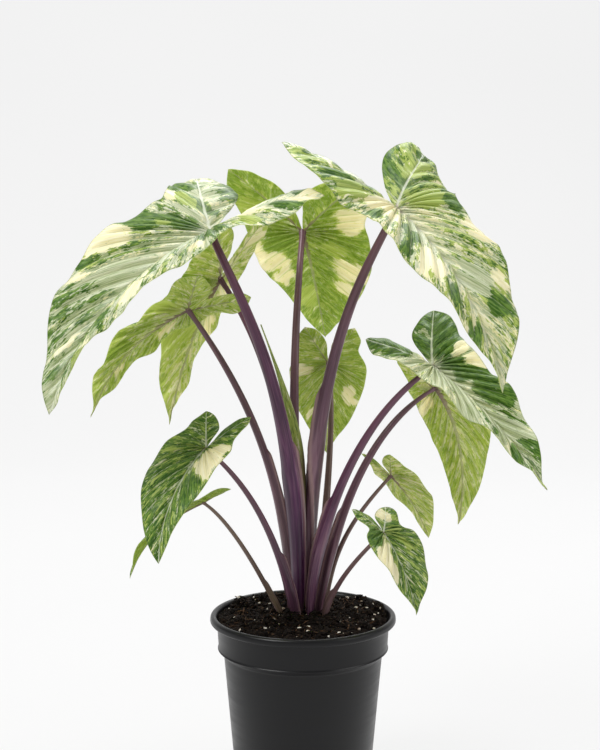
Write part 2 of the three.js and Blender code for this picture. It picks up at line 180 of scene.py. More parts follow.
def rounded(profile, radius, steps=4):
    """A profile whose inner corners are rounded off."""
    line = [np.array(p, float) for p in profile]
    soft = [line[0]]
    for before, corner, after in zip(line, line[1:], line[2:]):
        back, ahead = np.linalg.norm(before - corner), np.linalg.norm(after - corner)
        reach = min(radius, 0.45 * back, 0.45 * ahead)
        start = corner + (before - corner) / back * reach
        end = corner + (after - corner) / ahead * reach
        for t in np.linspace(0, 1, steps):
            soft.append((1 - t) ** 2 * start + 2 * t * (1 - t) * corner + t ** 2 * end)
    return soft + [line[-1]]


def turned(profile, turns):
    """Points and faces of a closed body turned round the Z axis, its profile from pole to pole."""
    rings = profile[1:-1]
    angles = np.arange(turns) * 2 * math.pi / turns
    points = [(0, 0, profile[0][1])]
    points += [(r * math.cos(a), r * math.sin(a), z) for r, z in rings for a in angles]
    points.append((0, 0, profile[-1][1]))
    last = len(points) - 1
    faces = []
    for j in range(turns):
        k = (j + 1) % turns
        faces.append((0, 1 + k, 1 + j))
        for i in range(len(rings) - 1):
            low, high = 1 + i * turns, 1 + (i + 1) * turns
            faces.append((low + j, low + k, high + k, high + j))
        low = 1 + (len(rings) - 1) * turns
        faces.append((low + j, low + k, last))
    return points, faces


# Black polypropylene, moulded against a satin tool: near black with soft, wide highlights and
# faint flow marks round it
pot_plastic, tree, shader = new_finish("satin_black_polypropylene", 0.36, 1.49, 0.32)
coordinates = add(tree, "ShaderNodeTexCoord").outputs["Object"]
around = out_of(tree, "ShaderNodeMapping", {"Vector": coordinates, "Scale": (1, 1, 9)})
flow = grain(tree, around, 60 * MM)
tree.links.new(between(tree, flow, 0.2, 0.8, 0.3, 0.42), shader.inputs["Roughness"])
cover(tree, shader, toned(tree, flow, "#040405", "#0a0a0d"), grain(tree, coordinates, 0.9 * MM, 2),
      0.25, 0.05)

step_radius = COLLAR_RADIUS - COLLAR_TAPER
lip_foot = POT_HEIGHT - LIP_DEPTH
pot_profile = [
    (0, 0), (FOOT_RADIUS - 5, 0), (FOOT_RADIUS, 2), (BODY_TOP_RADIUS, COLLAR_FOOT - STEP_SLOPE),
    (step_radius, COLLAR_FOOT), (step_radius + STEP_BEAD, COLLAR_FOOT + 0.8),
    (step_radius, COLLAR_FOOT + 2), (COLLAR_RADIUS, lip_foot - 1), (LIP_RADIUS - 1.4, lip_foot),
    (LIP_RADIUS, lip_foot + 1.6), (LIP_RADIUS - 0.3, POT_HEIGHT - 1.6), (LIP_RADIUS - 2, POT_HEIGHT),
    (LIP_INSIDE + 1.8, POT_HEIGHT), (LIP_INSIDE, POT_HEIGHT - 1.8),
    (COLLAR_RADIUS - POT_WALL, lip_foot), (step_radius - POT_WALL, COLLAR_FOOT + STEP_SLOPE / 2),
    (BODY_TOP_RADIUS - POT_WALL, COLLAR_FOOT - STEP_SLOPE / 2), (FOOT_RADIUS - POT_WALL, POT_FLOOR),
    (0, POT_FLOOR)]
pot = new_piece("nursery_pot", *turned(rounded(pot_profile, POT_CORNERS), POT_TURNS), pot_plastic)
drill_points, drill_faces = [], []
for i in range(DRAIN_HOLES):
    angle = (i + 0.5) * 2 * math.pi / DRAIN_HOLES
    centre = (DRAIN_CIRCLE * math.cos(angle), DRAIN_CIRCLE * math.sin(angle), 0)
    points, faces = turned([(0, -5), (DRAIN_RADIUS, -5), (DRAIN_RADIUS, 10), (0, 10)], DRAIN_TURNS)
    drill_faces += [tuple(v + len(drill_points) for v in face) for face in faces]
    drill_points += [tuple(np.add(p, centre)) for p in points]
drill = new_piece("drain_drill", drill_points, drill_faces, pot_plastic)
cut = pot.modifiers.new("drain_holes", "BOOLEAN")
cut.operation = "DIFFERENCE"
cut.solver = "EXACT"
cut.object = drill
settled(pot).set_sharp_from_angle(angle=SHARP_EDGE)
bpy.data.objects.remove(drill)
set_down(pot, "pot", "pot")


# ------------------------------------------------------------------ Potting mix
# Damp peat, composted bark and a little perlite, tipped in loose and pressed round the crown. It
# fills the pot to just under the lip, is heaped a little in the middle and shows single crumbs.
SOIL_EDGE = 75.0
SOIL_EDGE_HEIGHT = 163.5
SOIL_GAP = 0.6
SOIL_FLOOR = POT_FLOOR + 0.3
SOIL_HEAP = 4.5
SOIL_LUMP = 1.1
SOIL_CRUMB = 4.4
# Clods that stand above the lip at the back: place, height and reach
SOIL_MOUNDS = [(-57, 40, 5.5, 9), (54, 46, 6.0, 8), (-40, 55, 2.5, 12), (66, 20, 3.0, 8)]
SOIL_RINGS = 84
SOIL_TURNS = 200


def painted(tree, body, share, colour):
    """A colour with a hex colour laid over it by a share."""
    return mixed(tree, share, body, linear(colour))


# Damp peat: near black and dull, browner in scattered lumps and flecks
peat, tree, shader = new_finish("damp_peat_mix", 0.95, 1.4, 0.3)
coordinates = add(tree, "ShaderNodeTexCoord").outputs["Object"]
lumps = grain(tree, coordinates, 6 * MM, 6, 0.7)
crumbs = grain(tree, coordinates, 1.3 * MM, 4, 0.7)
body = toned(tree, between(tree, lumps, 0.42, 0.68), "#080504", "#1f150f")
body = painted(tree, body, between(tree, crumbs, 0.5, 0.72), "#3e2d21")
cover(tree, shader, body, crumbs, 0.9, 1.2)


def soil_height(x, y):
    """The heap with its big lumps and small crumbs."""
    out = min(1.0, math.hypot(x, y) / SOIL_EDGE)
    u, v = x / 7, y / 7
    lumps = math.sin(u + 1) * math.cos(0.9 * v) + 0.6 * math.sin(1.5 * (u + v))
    rough = noise.fractal(Vector((x, y, 3)) / 9, 0.8, 2.1, 5)
    rough += 0.6 * abs(noise.noise(Vector((x, y, 9)) / 4))
    mounds = sum(high * math.exp(-((x - mound_x) ** 2 + (y - mound_y) ** 2) / wide ** 2)
                 for mound_x, mound_y, high, wide in SOIL_MOUNDS)
    heap = SOIL_EDGE_HEIGHT + SOIL_HEAP * (1 - out ** 2)
    return heap + SOIL_LUMP * lumps + SOIL_CRUMB * rough + mounds


soil_profile = [(0, SOIL_FLOOR), (FOOT_RADIUS - POT_WALL - SOIL_GAP, SOIL_FLOOR),
                (BODY_TOP_RADIUS - POT_WALL - SOIL_GAP, COLLAR_FOOT - 2), (73.0, COLLAR_FOOT + 3),
                (74.2, 158)]
soil_profile += [(SOIL_EDGE * (1 - i / SOIL_RINGS), SOIL_EDGE_HEIGHT) for i in range(SOIL_RINGS)]
soil_profile.append((0, SOIL_EDGE_HEIGHT))
points, faces = turned(soil_profile, SOIL_TURNS)
points = [(x, y, soil_height(x, y) if z == SOIL_EDGE_HEIGHT else z) for x, y, z in points]
soil = new_piece("potting_mix", points, faces, peat)
set_down(soil, "soil", "soil")

# Bark fibre: dry strips of composted bark, warm brown with paler split ends
bark, tree, shader = new_finish("composted_bark", 0.85, 1.45, 0.3)
coordinates = add(tree, "ShaderNodeTexCoord").outputs["Object"]
tone = grain(tree, coordinates, 5 * MM, 4, 0.6)
cover(tree, shader, toned(tree, between(tree, tone, 0.35, 0.7), "#1a100a", "#5f432c"))

# Perlite: expanded volcanic glass, chalky white grains stained by the peat
perlite, tree, shader = new_finish("perlite_grain", 0.8, 1.5)
coordinates = add(tree, "ShaderNodeTexCoord").outputs["Object"]
stain = grain(tree, coordinates, 3 * MM)
cover(tree, shader, toned(tree, between(tree, stain, 0.35, 0.7), "#f1ece2", "#b39c85"))

# The part of the soil that crumbs lie on: above this height, in metres, and no steeper than this
CRUMBS_ABOVE = 0.15
CRUMBS_UPRIGHT = 0.2
# How fine the crumbs' ragged surface is, in turns of the noise to a metre
RAGGEDNESS = 420.0


def start_growth(name, *inputs):
    """An empty geometry tree, and the sockets of its named inputs."""
    tree = bpy.data.node_groups.new(name, "GeometryNodeTree")
    for what, kind in (("Geometry", "Geometry"), *inputs, ("Material", "Material")):
        tree.interface.new_socket(what, in_out="INPUT", socket_type="NodeSocket" + kind)
    tree.interface.new_socket("Geometry", in_out="OUTPUT", socket_type="NodeSocketGeometry")
    return tree, add(tree, "NodeGroupInput").outputs


def end_growth(tree, given, geometry):
    """Gives what has grown its material and hands it out."""
    inputs = {"Geometry": geometry, "Material": given["Material"]}
    add(tree, "NodeGroupOutput", {"Geometry": out_of(tree, "GeometryNodeSetMaterial", inputs)})
    return tree


def scatter_tree():
    """Crumbs strewn over a surface: each stands on it, turned and stretched its own way."""
    tree, given = start_growth(
        "strewn_crumbs", ("Per square metre", "Float"), ("Smallest", "Vector"), ("Largest", "Vector"),
        ("Roughening", "Float"), ("Spacing", "Float"), ("Lift", "Float"), ("Reach", "Float"),
        ("Seed", "Int"))
    compare = lambda operation, a, b: out_of(tree, "FunctionNodeCompare", {0: a, 1: b},
                                             operation=operation)
    both = lambda a, b: out_of(tree, "FunctionNodeBooleanMath", {0: a, 1: b}, operation="AND")
    drawn = lambda low, high: out_of(tree, "FunctionNodeRandomValue",
                                     {0: low, 1: high, "Seed": given["Seed"]},
                                     data_type="FLOAT_VECTOR")
    height_of = lambda vector: add(tree, "ShaderNodeSeparateXYZ", {0: vector}).outputs[2]
    place = out_of(tree, "GeometryNodeInputPosition")
    on_top = compare("GREATER_THAN", height_of(place), CRUMBS_ABOVE)
    level = compare("GREATER_THAN", height_of(out_of(tree, "GeometryNodeInputNormal")), CRUMBS_UPRIGHT)
    flat = out_of(tree, "ShaderNodeVectorMath", {0: place, 1: (1, 1, 0)}, operation="MULTIPLY")
    out = add(tree, "ShaderNodeVectorMath", {0: flat}, operation="LENGTH").outputs["Value"]
    within = compare("LESS_THAN", out, given["Reach"])
    strewn = out_of(tree, "GeometryNodeDistributePointsOnFaces",
                    {"Mesh": given["Geometry"], "Selection": both(both(on_top, level), within),
                     "Distance Min": given["Spacing"], "Density Max": given["Per square metre"],
                     "Seed": given["Seed"]}, distribute_method="POISSON")
    lump = out_of(tree, "GeometryNodeMeshIcoSphere", {"Radius": 0.5, "Subdivisions": 1})
    placed = out_of(tree, "GeometryNodeInstanceOnPoints",
                    {"Points": strewn, "Instance": lump,
                     "Rotation": drawn((-0.5, -0.5, 0.0), (0.5, 0.5, math.tau)),
                     "Scale": drawn(given["Smallest"], given["Largest"])})
    real = out_of(tree, "GeometryNodeRealizeInstances", {"Geometry": placed})
    here = out_of(tree, "GeometryNodeInputPosition")
    ragged = add(tree, "ShaderNodeTexNoise", {"Vector": here, "Scale": RAGGEDNESS, "Detail": 2.0})
    centred = out_of(tree, "ShaderNodeVectorMath",
                     {0: ragged.outputs["Color"], 1: (0.5, 0.5, 0.5)}, operation="SUBTRACT")
    push = out_of(tree, "ShaderNodeVectorMath", {0: centred, "Scale": given["Roughening"]},
                  operation="SCALE")
    lifted = out_of(tree, "ShaderNodeCombineXYZ", {2: given["Lift"]})
    moved = out_of(tree, "ShaderNodeVectorMath", {0: push, 1: lifted}, operation="ADD")
    rough = out_of(tree, "GeometryNodeSetPosition", {"Geometry": real, "Offset": moved})
    faceted = out_of(tree, "GeometryNodeSetShadeSmooth", {0: rough, "Shade Smooth": False})
    return end_growth(tree, given, faceted)


def grown(name, source, tree, values):
    """A piece whose mesh a geometry tree makes of a source mesh, with its named inputs set."""
    carrier = bpy.data.objects.new(name, source)
    bpy.context.scene.collection.objects.link(carrier)
    modifier = carrier.modifiers.new("grow", "NODES")
    modifier.node_group = tree
    for socket in tree.interface.items_tree:
        if socket.name in values:
            modifier[socket.identifier] = values[socket.name]
    settled(carrier).name = name
    return carrier


strewn_crumbs = scatter_tree()
# Smallest and largest size, how rough, how far apart, how proud and how far out, in mm
for name, count, smallest, largest, lengths, seed, material in (
        ("peat_crumbs", 120000, (2.0, 1.8, 1.4), (9.0, 7.0, 5.6), (3.2, 1.9, 0.4, 71), 4, peat),
        ("bark_fibres", 30000, (4.5, 0.7, 0.5), (13.0, 1.8, 1.2), (1.5, 2.3, 1.1, 69), 9, bark),
        ("perlite_grains", 5200, (1.0, 1.0, 0.9), (4.4, 3.8, 3.0), (0.8, 3.6, 1.2, 72), 23, perlite)):
    values = {"Per square metre": float(count), "Seed": seed, "Material": material,
              "Smallest": tuple(v * MM for v in smallest), "Largest": tuple(v * MM for v in largest)}
    for what, length in zip(("Roughening", "Spacing", "Lift", "Reach"), lengths):
        values[what] = length * MM
    set_down(grown(name, soil.data, strewn_crumbs, values), "soil", "soil")


# ------------------------------------------------------------------ Leaf blades
# Thin, hairless arrow-shaped blades, each grown flat and hung from its stalk by the junction of
# three ribs. Patches of the tissue lack green, so cream, silver and dark green lie side by side.
BLADE_EDGE = 0.8
SINUS_SPREAD = 0.28
SINUS_LIMIT = 0.72
LOBE_BULGE = 0.42
BULGE_LIMIT = 0.66
# Half a blade's outline from the junction to the tip, as shares of its length and width
BELLY = [(0.07, 1), (0.22, 0.99), (0.38, 0.93), (0.55, 0.77), (0.72, 0.53), (0.86, 0.28), (0.95, 0.1),
         (1, 0)]
DROOP_POWER = 1.3
VEIN_SWEEP = 1.6
SPLINE_STEPS = 40
SPINE_STEPS = 24
# Blades longer than this have more side veins: on a back rib, at the junction and on the midrib
LARGE_LENGTH = 120
VEINS_LARGE, VEINS_SMALL = (5, 3, 10), (4, 2, 6)
# Points between two side veins, and from a rib to the outer and the inner margin, closer at the rib
POINTS_PER_VEIN = 10
ROWS_LARGE, ROWS_SMALL = (26, 8), (18, 6)
ROW_POWER = 1.3
# Points this near each other become one, in mm, and how far the cells that tell are shifted
WELD, WELD_SHIFT = 0.02, 0.137
# How far apart the side veins count as for the noise of the tissue, in mm
VEIN_PITCH = 20.0
# Relief in mm: the skin's swelling between veins, its ripple near the margin, and the midrib's
# groove above, its ridge below and the side veins' ridges
SWELL_LARGE, SWELL_SMALL = 3.0, 1.7
RIPPLE = 0.6
RIPPLE_SIZE = 13
RIPPLE_REACH = 14
GROOVE = 0.35
RIDGE = 1.9
VEIN_RIDGE = 0.35
# A patch's outline wanders, so far from one turn to the next and so much, in mm, and by this seed,
# without which it would wander otherwise at every run
PATCH_DRIFT = (12.0, 6.5)
PATCH_SEED = 7

# As in the solids: junction, length, width, lobe, spread of the left and right lobe, heading, pitch,
# droop, roll, and for the two halves fold, curl, tuck and lift, then the margin's wave and waves
BLADES = {
    "tall_left": ((-76, -55, 505), 210, 62, 104, (50, 66), 215, 22, 48, -25,
                  (52, 18), (35, 22), (0, -8), (2, -42), 4, 4),
    "tall_right": ((77, -45, 525), 188, 56, 106, (52, 42), -46, 33, 42, 18,
                   (25, 42), (50, 35), (0, 35), (36, -42), 4, 4),
    "tall_back": ((0, 110, 503), 150, 62, 93, (42, 42), 77, 42, 12, 0,
                  (20, 5), (15, 15), (0, 0), (2, 0), 2.5, 3),
    "middle_left": ((-100, 0, 438), 150, 25, 56, (42, 42), 152, 25, 45, 22,
                    (10, 10), (10, 10), (0, 0), (0, 10), 3.5, 4),
    "middle_left_back": ((-75, 60, 461), 165, 36, 70, (25, 25), 131, 50, 25, 10,
                         (5, 40), (15, 20), (0, 0), (0, 0), 4, 4),
    "low_left_front": ((-81, -65, 327), 110, 36, 46, (34, 34), 233, 30, 58, -15,
                       (42, 15), (30, 35), (0, 0), (0, 0), 1.5, 3),
    "low_left": ((-87, -20, 272), 95, 20, 30, (30, 30), 187, 24, 50, 20,
                 (15, 20), (20, 20), (0, 0), (-15, 0), 1.5, 3),
    "middle_back": ((24, 95, 380), 100, 36, 46, (30, 30), 92, 58, 20, 0,
                    (10, 10), (10, 10), (0, 0), (5, -5), 2, 3),
    "middle_right": ((110, -35, 392), 150, 32, 62, (42, 42), -44, 28, 22, 20,
                     (48, 38), (35, 25), (-10, 0), (8, 0), 4, 4),
    "middle_right_back": ((118, 25, 366), 150, 35, 44, (36, 36), 55, 40, 72, -36,
                          (50, 12), (20, 15), (0, 0), (20, 0), 3.5, 4),
    "low_right_back": ((80, 45, 283), 82, 26, 34, (32, 32), 40, 42, 25, -15,
                       (28, 12), (20, 20), (0, 0), (0, 0), 1.5, 3),
    "low_right_front": ((68, -50, 252), 76, 31, 33, (42, 42), -48, 44, 33, 10,
                        (6, 36), (20, 20), (0, 0), (-30, -25), 2, 3),
}

# How each blade is coloured: how far its upper and its lower tissue lack green everywhere, from -1
# (none) to 1 (all), how much more the upper one does beside the ribs, then its own patches as kind,
# place along the midrib and out from it (minus on the right half), half length along the veins and
# half width, in millimetres
MARKINGS = {
    "tall_left": (0.1, -0.25, 0.9, [
        ("dark", 14, -26, 18, 9), ("dark", 34, -50, 20, 12), ("lime", 24, -34, 8, 3),
        ("cream", 62, -50, 17, 11), ("cream", 78, -52, 9, 8), ("dark", 92, -50, 8, 5),
        ("cream", 106, -42, 9, 6), ("streaked", 132, -26, 44, 20), ("silver", 80, -15, 26, 12),
        ("streaked", 172, -4, 46, 16), ("cream", 158, -12, 15, 3), ("dark", -12, -32, 18, 6),
        ("dark", -20, -72, 15, 13), ("dark", -50, -48, 15, 13), ("cream", -2, -58, 9, 5),
        ("silver", -34, -52, 14, 4), ("lime", -6, -44, 12, 5), ("cream", 96, 34, 18, 12),
        ("dark", 78, 36, 12, 5), ("dark", 20, 40, 16, 10), ("silver", 50, 20, 28, 10),
        ("cream", 36, 44, 9, 6), ("dark", 128, 22, 10, 6), ("cream", -24, 34, 22, 9),
        ("cream", -52, 62, 22, 12), ("dark", -38, 66, 18, 6), ("lime", -8, 52, 14, 8),
        ("dark", -70, 50, 12, 6), ("dark", -58, -40, 12, 5)]),
    "tall_right": (-0.05, 0.0, 0.65, [
        ("green", -34, 44, 52, 36), ("green", -40, -36, 50, 28), ("lime", 6, 32, 20, 12),
        ("dark", 18, 48, 14, 8), ("dark", 2, 60, 10, 6), ("cream", 46, 47, 11, 8),
        ("cream", 60, 45, 10, 8), ("silver", 92, 14, 16, 12), ("dark", 122, 22, 9, 8),
        ("cream", 100, 36, 10, 5), ("dark", -34, 20, 26, 7), ("cream", -18, 66, 10, 3),
        ("lime", -34, 44, 20, 8), ("dark", -52, 66, 8, 5), ("dark", -40, -18, 24, 6),
        ("cream", 2, -26, 17, 8), ("dark", 18, -46, 8, 5), ("cream", 24, -30, 10, 7),
        ("dark", 43, -25, 13, 9), ("silver", 34, -11, 14, 6), ("cream", 78, -30, 17, 13),
        ("dark", 104, -25, 12, 8), ("dark", 58, -44, 9, 5), ("dark", 138, -18, 12, 7),
        ("cream", 126, -13, 9, 3), ("dark", -58, -30, 12, 12), ("dark", -28, -56, 16, 7),
        ("silver", -34, -26, 18, 8), ("lime", -14, -50, 14, 6), ("cream", -50, -44, 8, 3)]),
    "tall_back": (-0.7, -0.2, 0.2, [
        ("cream", 50, 44, 22, 18), ("cream", 76, 34, 16, 8), ("cream", -18, -52, 20, 12),
        ("cream", -2, -44, 12, 9), ("cream", 60, -38, 22, 13), ("cream", 84, -30, 16, 8),
        ("lime", -20, 40, 22, 10), ("dark", 26, 30, 22, 10), ("lime", 96, 14, 18, 10),
        ("lime", 28, -26, 14, 8)]),
    "middle_left": (-0.5, 0.15, 0.3, [
        ("cream", 35, -12, 12, 5), ("dark", 75, 12, 14, 5), ("lime", 10, 16, 16, 10),
        ("cream", 96, -6, 10, 3)]),
    "middle_left_back": (-0.3, 0.3, 0.3, [
        ("cream", 25, -24, 22, 7), ("cream", 60, -20, 20, 5), ("cream", -40, -26, 14, 8),
        ("lime", 60, 16, 30, 14), ("dark", 6, 26, 16, 7)]),
    "low_left_front": (-0.52, -0.3, 0.1, [
        ("cream", 20, 20, 17, 12), ("cream", 8, 24, 9, 8), ("dark", -26, 8, 16, 9),
        ("lime", 14, -26, 7, 3), ("dark", 48, 16, 14, 6)]),
    "low_left": (-0.6, -0.5, 0.2, []),
    "middle_back": (-0.5, -0.05, 0.2, [
        ("cream", 12, 26, 12, 7), ("cream", 40, -22, 14, 4), ("cream", 58, 14, 10, 3)]),
    "middle_right": (0.5, -0.3, 0.5, [
        ("dark", -34, 24, 44, 28), ("dark", 34, 22, 26, 11), ("dark", 58, 18, 18, 10),
        ("cream", 22, 24, 14, 4), ("cream", 8, 27, 9, 4), ("dark", -36, -24, 24, 18),
        ("dark", 82, -14, 12, 3), ("cream", 100, -12, 10, 3), ("cream", 58, -20, 12, 3),
        ("silver", 44, -12, 34, 8), ("silver", 84, -7, 24, 5), ("silver", 20, -14, 20, 8),
        ("silver", -28, 16, 12, 2), ("silver", 94, 8, 26, 6), ("dark", 84, 14, 14, 3),
        ("dark", 14, 12, 12, 6), ("dark", 116, 13, 16, 5), ("streaked", 128, 2, 22, 12),
        ("dark", 116, -12, 12, 4)]),
    "middle_right_back": (-0.3, 0.2, 0.35, [
        ("cream", 48, -24, 16, 6), ("cream", 30, 24, 16, 6)]),
    "low_right_back": (-0.12, 0.22, 0.1, [
        ("dark", -20, 16, 10, 6)]),
    "low_right_front": (-0.5, -0.24, 0.1, [
        ("cream", 24, -20, 19, 8), ("cream", 34, -18, 10, 6), ("cream", -18, 12, 11, 4),
        ("dark", 4, -20, 13, 8), ("lime", 16, 14, 8, 3)]),
}


def towards(azimuth, elevation):
    """Unit vectors by azimuth, 0 along +X and 90 away from the viewer, and elevation."""
    a, e = np.radians(azimuth), np.radians(elevation)
    flat = np.cos(e)
    return np.stack([flat * np.cos(a), flat * np.sin(a), np.sin(e) + 0 * a], -1)


def bell(distance, width):
    """1 on a line and less and less beside it."""
    return np.exp(-(distance / width) ** 2)


class Blade:
    """One blade: its flat outline, its hanging midrib and its folded halves, left 1 and right -1."""

    def __init__(self, values):
        (self.junction, self.length, self.width, self.lobe, self.spread, self.heading, self.pitch,
         self.droop, self.roll, self.fold, self.curl, self.tuck, self.lift, self.wave,
         self.waves) = values
        self.large = self.length > LARGE_LENGTH
        counts = VEINS_LARGE if self.large else VEINS_SMALL
        self.rib_veins, self.fan_veins, self.midrib_veins = counts
        self.veins = sum(counts)
        self.halves = {side: self.outline(math.radians(spread))
                       for side, spread in zip((1, -1), self.spread)}

    def outline(self, spread):
        """One half lying flat: the way of its back rib, and its outer and inner edges."""
        rib = np.array([-math.cos(spread), math.sin(spread)])
        outward = np.array([math.sin(spread), math.cos(spread)])
        bulge = min(LOBE_BULGE, BULGE_LIMIT * math.cos(spread))
        beside = lambda share, offset: (rib * share + outward * offset) * self.lobe
        inside = lambda share, offset: beside(
            share, -min(offset, SINUS_LIMIT * share * math.tan(spread)))
        outer = self.spline([beside(1, 0), beside(0.82, 0.62 * bulge), beside(0.5, bulge)]
                            + [np.array([x * self.length, y * self.width]) for x, y in BELLY])
        inner = self.spline([beside(1, 0), inside(0.82, 0.62 * SINUS_SPREAD),
                             inside(0.5, SINUS_SPREAD), inside(0.2, 0.55 * SINUS_SPREAD),
                             np.zeros(2)])
        return rib, outer, inner

    @staticmethod
    def spline(points):
        """A smooth line through the points: the way to find a place at a share of its length."""
        line = []
        for i in range(len(points) - 1):
            p0, p1, p2 = points[max(0, i - 1)], points[i], points[i + 1]
            p3 = points[min(len(points) - 1, i + 2)]
            t = np.linspace(0, 1, SPLINE_STEPS, endpoint=False)[:, None]
            v0, v1 = (p2 - p0) / 2, (p3 - p1) / 2
            line.append((2 * p1 - 2 * p2 + v0 + v1) * t ** 3 + (3 * p2 - 3 * p1 - 2 * v0 - v1) * t ** 2
                        + v0 * t + p1)
        line = np.vstack(line + [points[-1][None]])
        gone = distance_along(line)
        return lambda share: np.stack([np.interp(share * gone[-1], gone, line[:, k]) for k in (0, 1)],
                                      -1)

    def fall(self, side, x):
        """How steeply the midrib or the back lobe's line falls at distances from the junction."""
        lift = self.lift[0 if side > 0 else 1]
        along, behind = np.maximum(0, x / self.length), np.maximum(0, -x / self.lobe)
        return self.pitch + self.droop * along ** DROOP_POWER + lift * behind

    def frame_at(self, side, x):
        """The hanging line's points, with the ways to the left and out of the upper face."""
        parts = (np.arange(SPINE_STEPS) + 0.5) / SPINE_STEPS
        way = towards(self.heading, -self.fall(side, x[:, None] * parts))
        points = np.array(self.junction, float) + way.sum(1) * (x / SPINE_STEPS)[:, None]
        along = towards(self.heading, -self.fall(side, x))
        up = towards(self.heading, 90 - self.fall(side, x))
        roll = math.radians(self.roll)
        left = np.cross(up, along) * math.cos(roll) + up * math.sin(roll)
        return points, left, np.cross(along, left)

    def hang(self, side, flat, wave_share, wave_step):
        """Places of flat points on one half, once it is folded, curled and waved."""
        half = 0 if side > 0 else 1
        behind = np.maximum(0, -flat[:, 0] / self.lobe)
        fold = np.radians(self.fold[half] + self.tuck[half] * behind)
        curl = math.radians(self.curl[half])
        out = fold - curl * flat[:, 1] / self.width
        across = self.width / curl * (np.sin(fold) - np.sin(out))
        turn = 2 * math.pi * (self.waves * wave_step + half / 2)
        wave = self.wave * wave_share ** 2 * np.sin(turn)
        rise = self.width / curl * (np.cos(out) - np.cos(fold)) + wave
        points, left, normal = self.frame_at(side, flat[:, 0])
        return points + left * (side * across)[:, None] + normal * rise[:, None]

    def base_of(self, rib, vein):
        """Where veins leave the back rib, the junction or the midrib, swept towards the tips."""
        on_rib = rib * (self.lobe * np.maximum(0, 1 - vein / self.rib_veins) ** VEIN_SWEEP)[:, None]
        on_midrib = np.maximum(0, vein - self.rib_veins - self.fan_veins) / self.midrib_veins
        along = on_midrib ** VEIN_SWEEP
        return on_rib + np.stack([along * self.length, 0 * along], -1)

    def rib_distances(self, flats):
        """Distance to the nearest rib, how far that is towards its end, and if it is the midrib."""
        side_y = np.abs(flats[:, 1])
        turn = np.radians(np.where(flats[:, 1] > 0, *self.spread))
        along = side_y * np.sin(turn) - flats[:, 0] * np.cos(turn)
        off_rib = np.abs(flats[:, 0] * np.sin(turn) + side_y * np.cos(turn))
        from_junction = np.hypot(flats[:, 0], side_y)
        to_midrib = np.where(flats[:, 0] > 0, side_y, from_junction)
        to_lobe_rib = np.where(along > 0, off_rib, from_junction)
        on_blade = to_midrib <= to_lobe_rib
        tipward = np.where(on_blade, np.maximum(0, flats[:, 0]) / self.length,
                           np.maximum(0, along) / self.lobe)
        return np.minimum(to_midrib, to_lobe_rib), tipward, on_blade


def unit(rows):
    """The rows of an array, each brought to length 1."""
    return rows / np.maximum(np.linalg.norm(rows, axis=1), 1e-12)[:, None]


def distance_along(line):
    """How far each point of a line is along it."""
    return np.concatenate([[0], np.cumsum(np.linalg.norm(np.diff(line, axis=0), axis=1))])


def tissue_levels(flat, ways, near_rib, marks):
    """How far the upper and the lower tissue lack green at flat points, from -1 to 1."""
    upper, lower, beside_ribs, patches = marks
    levels = np.array([upper + beside_ribs * near_rib, lower + 0 * near_rib])
    drift = np.array([noise.noise_vector(Vector((*p, 40.0)) / PATCH_DRIFT[0])[:2] for p in flat])
    flat = flat + PATCH_DRIFT[1] * drift
    bare = {"cream": (1, 1), "dark": (-1, -1), "silver": (1, -1), "lime": (-1, 1),
            "green": (-0.55, 0), "streaked": (0.05, -0.7)}
    for kind, x, y, long, wide in patches:
        away = flat - (x, y)
        way = ways[np.argmin(np.hypot(*away.T))]
        reach = np.hypot(away @ way / long, (away[:, 0] * way[1] - away[:, 1] * way[0]) / wide)
        share = np.clip((1.3 - reach) / 0.6, 0, 1)
        levels += (np.array(bare[kind])[:, None] - levels) * (share ** 2 * (3 - 2 * share))
    return levels


def sides_of(faces):
    """The three sides of every triangle."""
    return np.vstack([faces[:, [0, 1]], faces[:, [1, 2]], faces[:, [2, 0]]])


def normals_of(points, faces):
    """The way out of a sheet at each of its points."""
    a, b, c = (points[faces[:, k]] for k in range(3))
    around = np.cross(b - a, c - a)
    total = np.zeros_like(points)
    for k in range(3):
        np.add.at(total, faces[:, k], around)
    return unit(total)


def store(mesh, name, values, domain="POINT"):
    """Writes a number or a vector for each point or corner of a mesh."""
    kind, field = ("FLOAT", "value") if values.ndim == 1 else ("FLOAT_VECTOR", "vector")
    mesh.attributes.new(name, kind, domain).data.foreach_set(field, values.ravel())


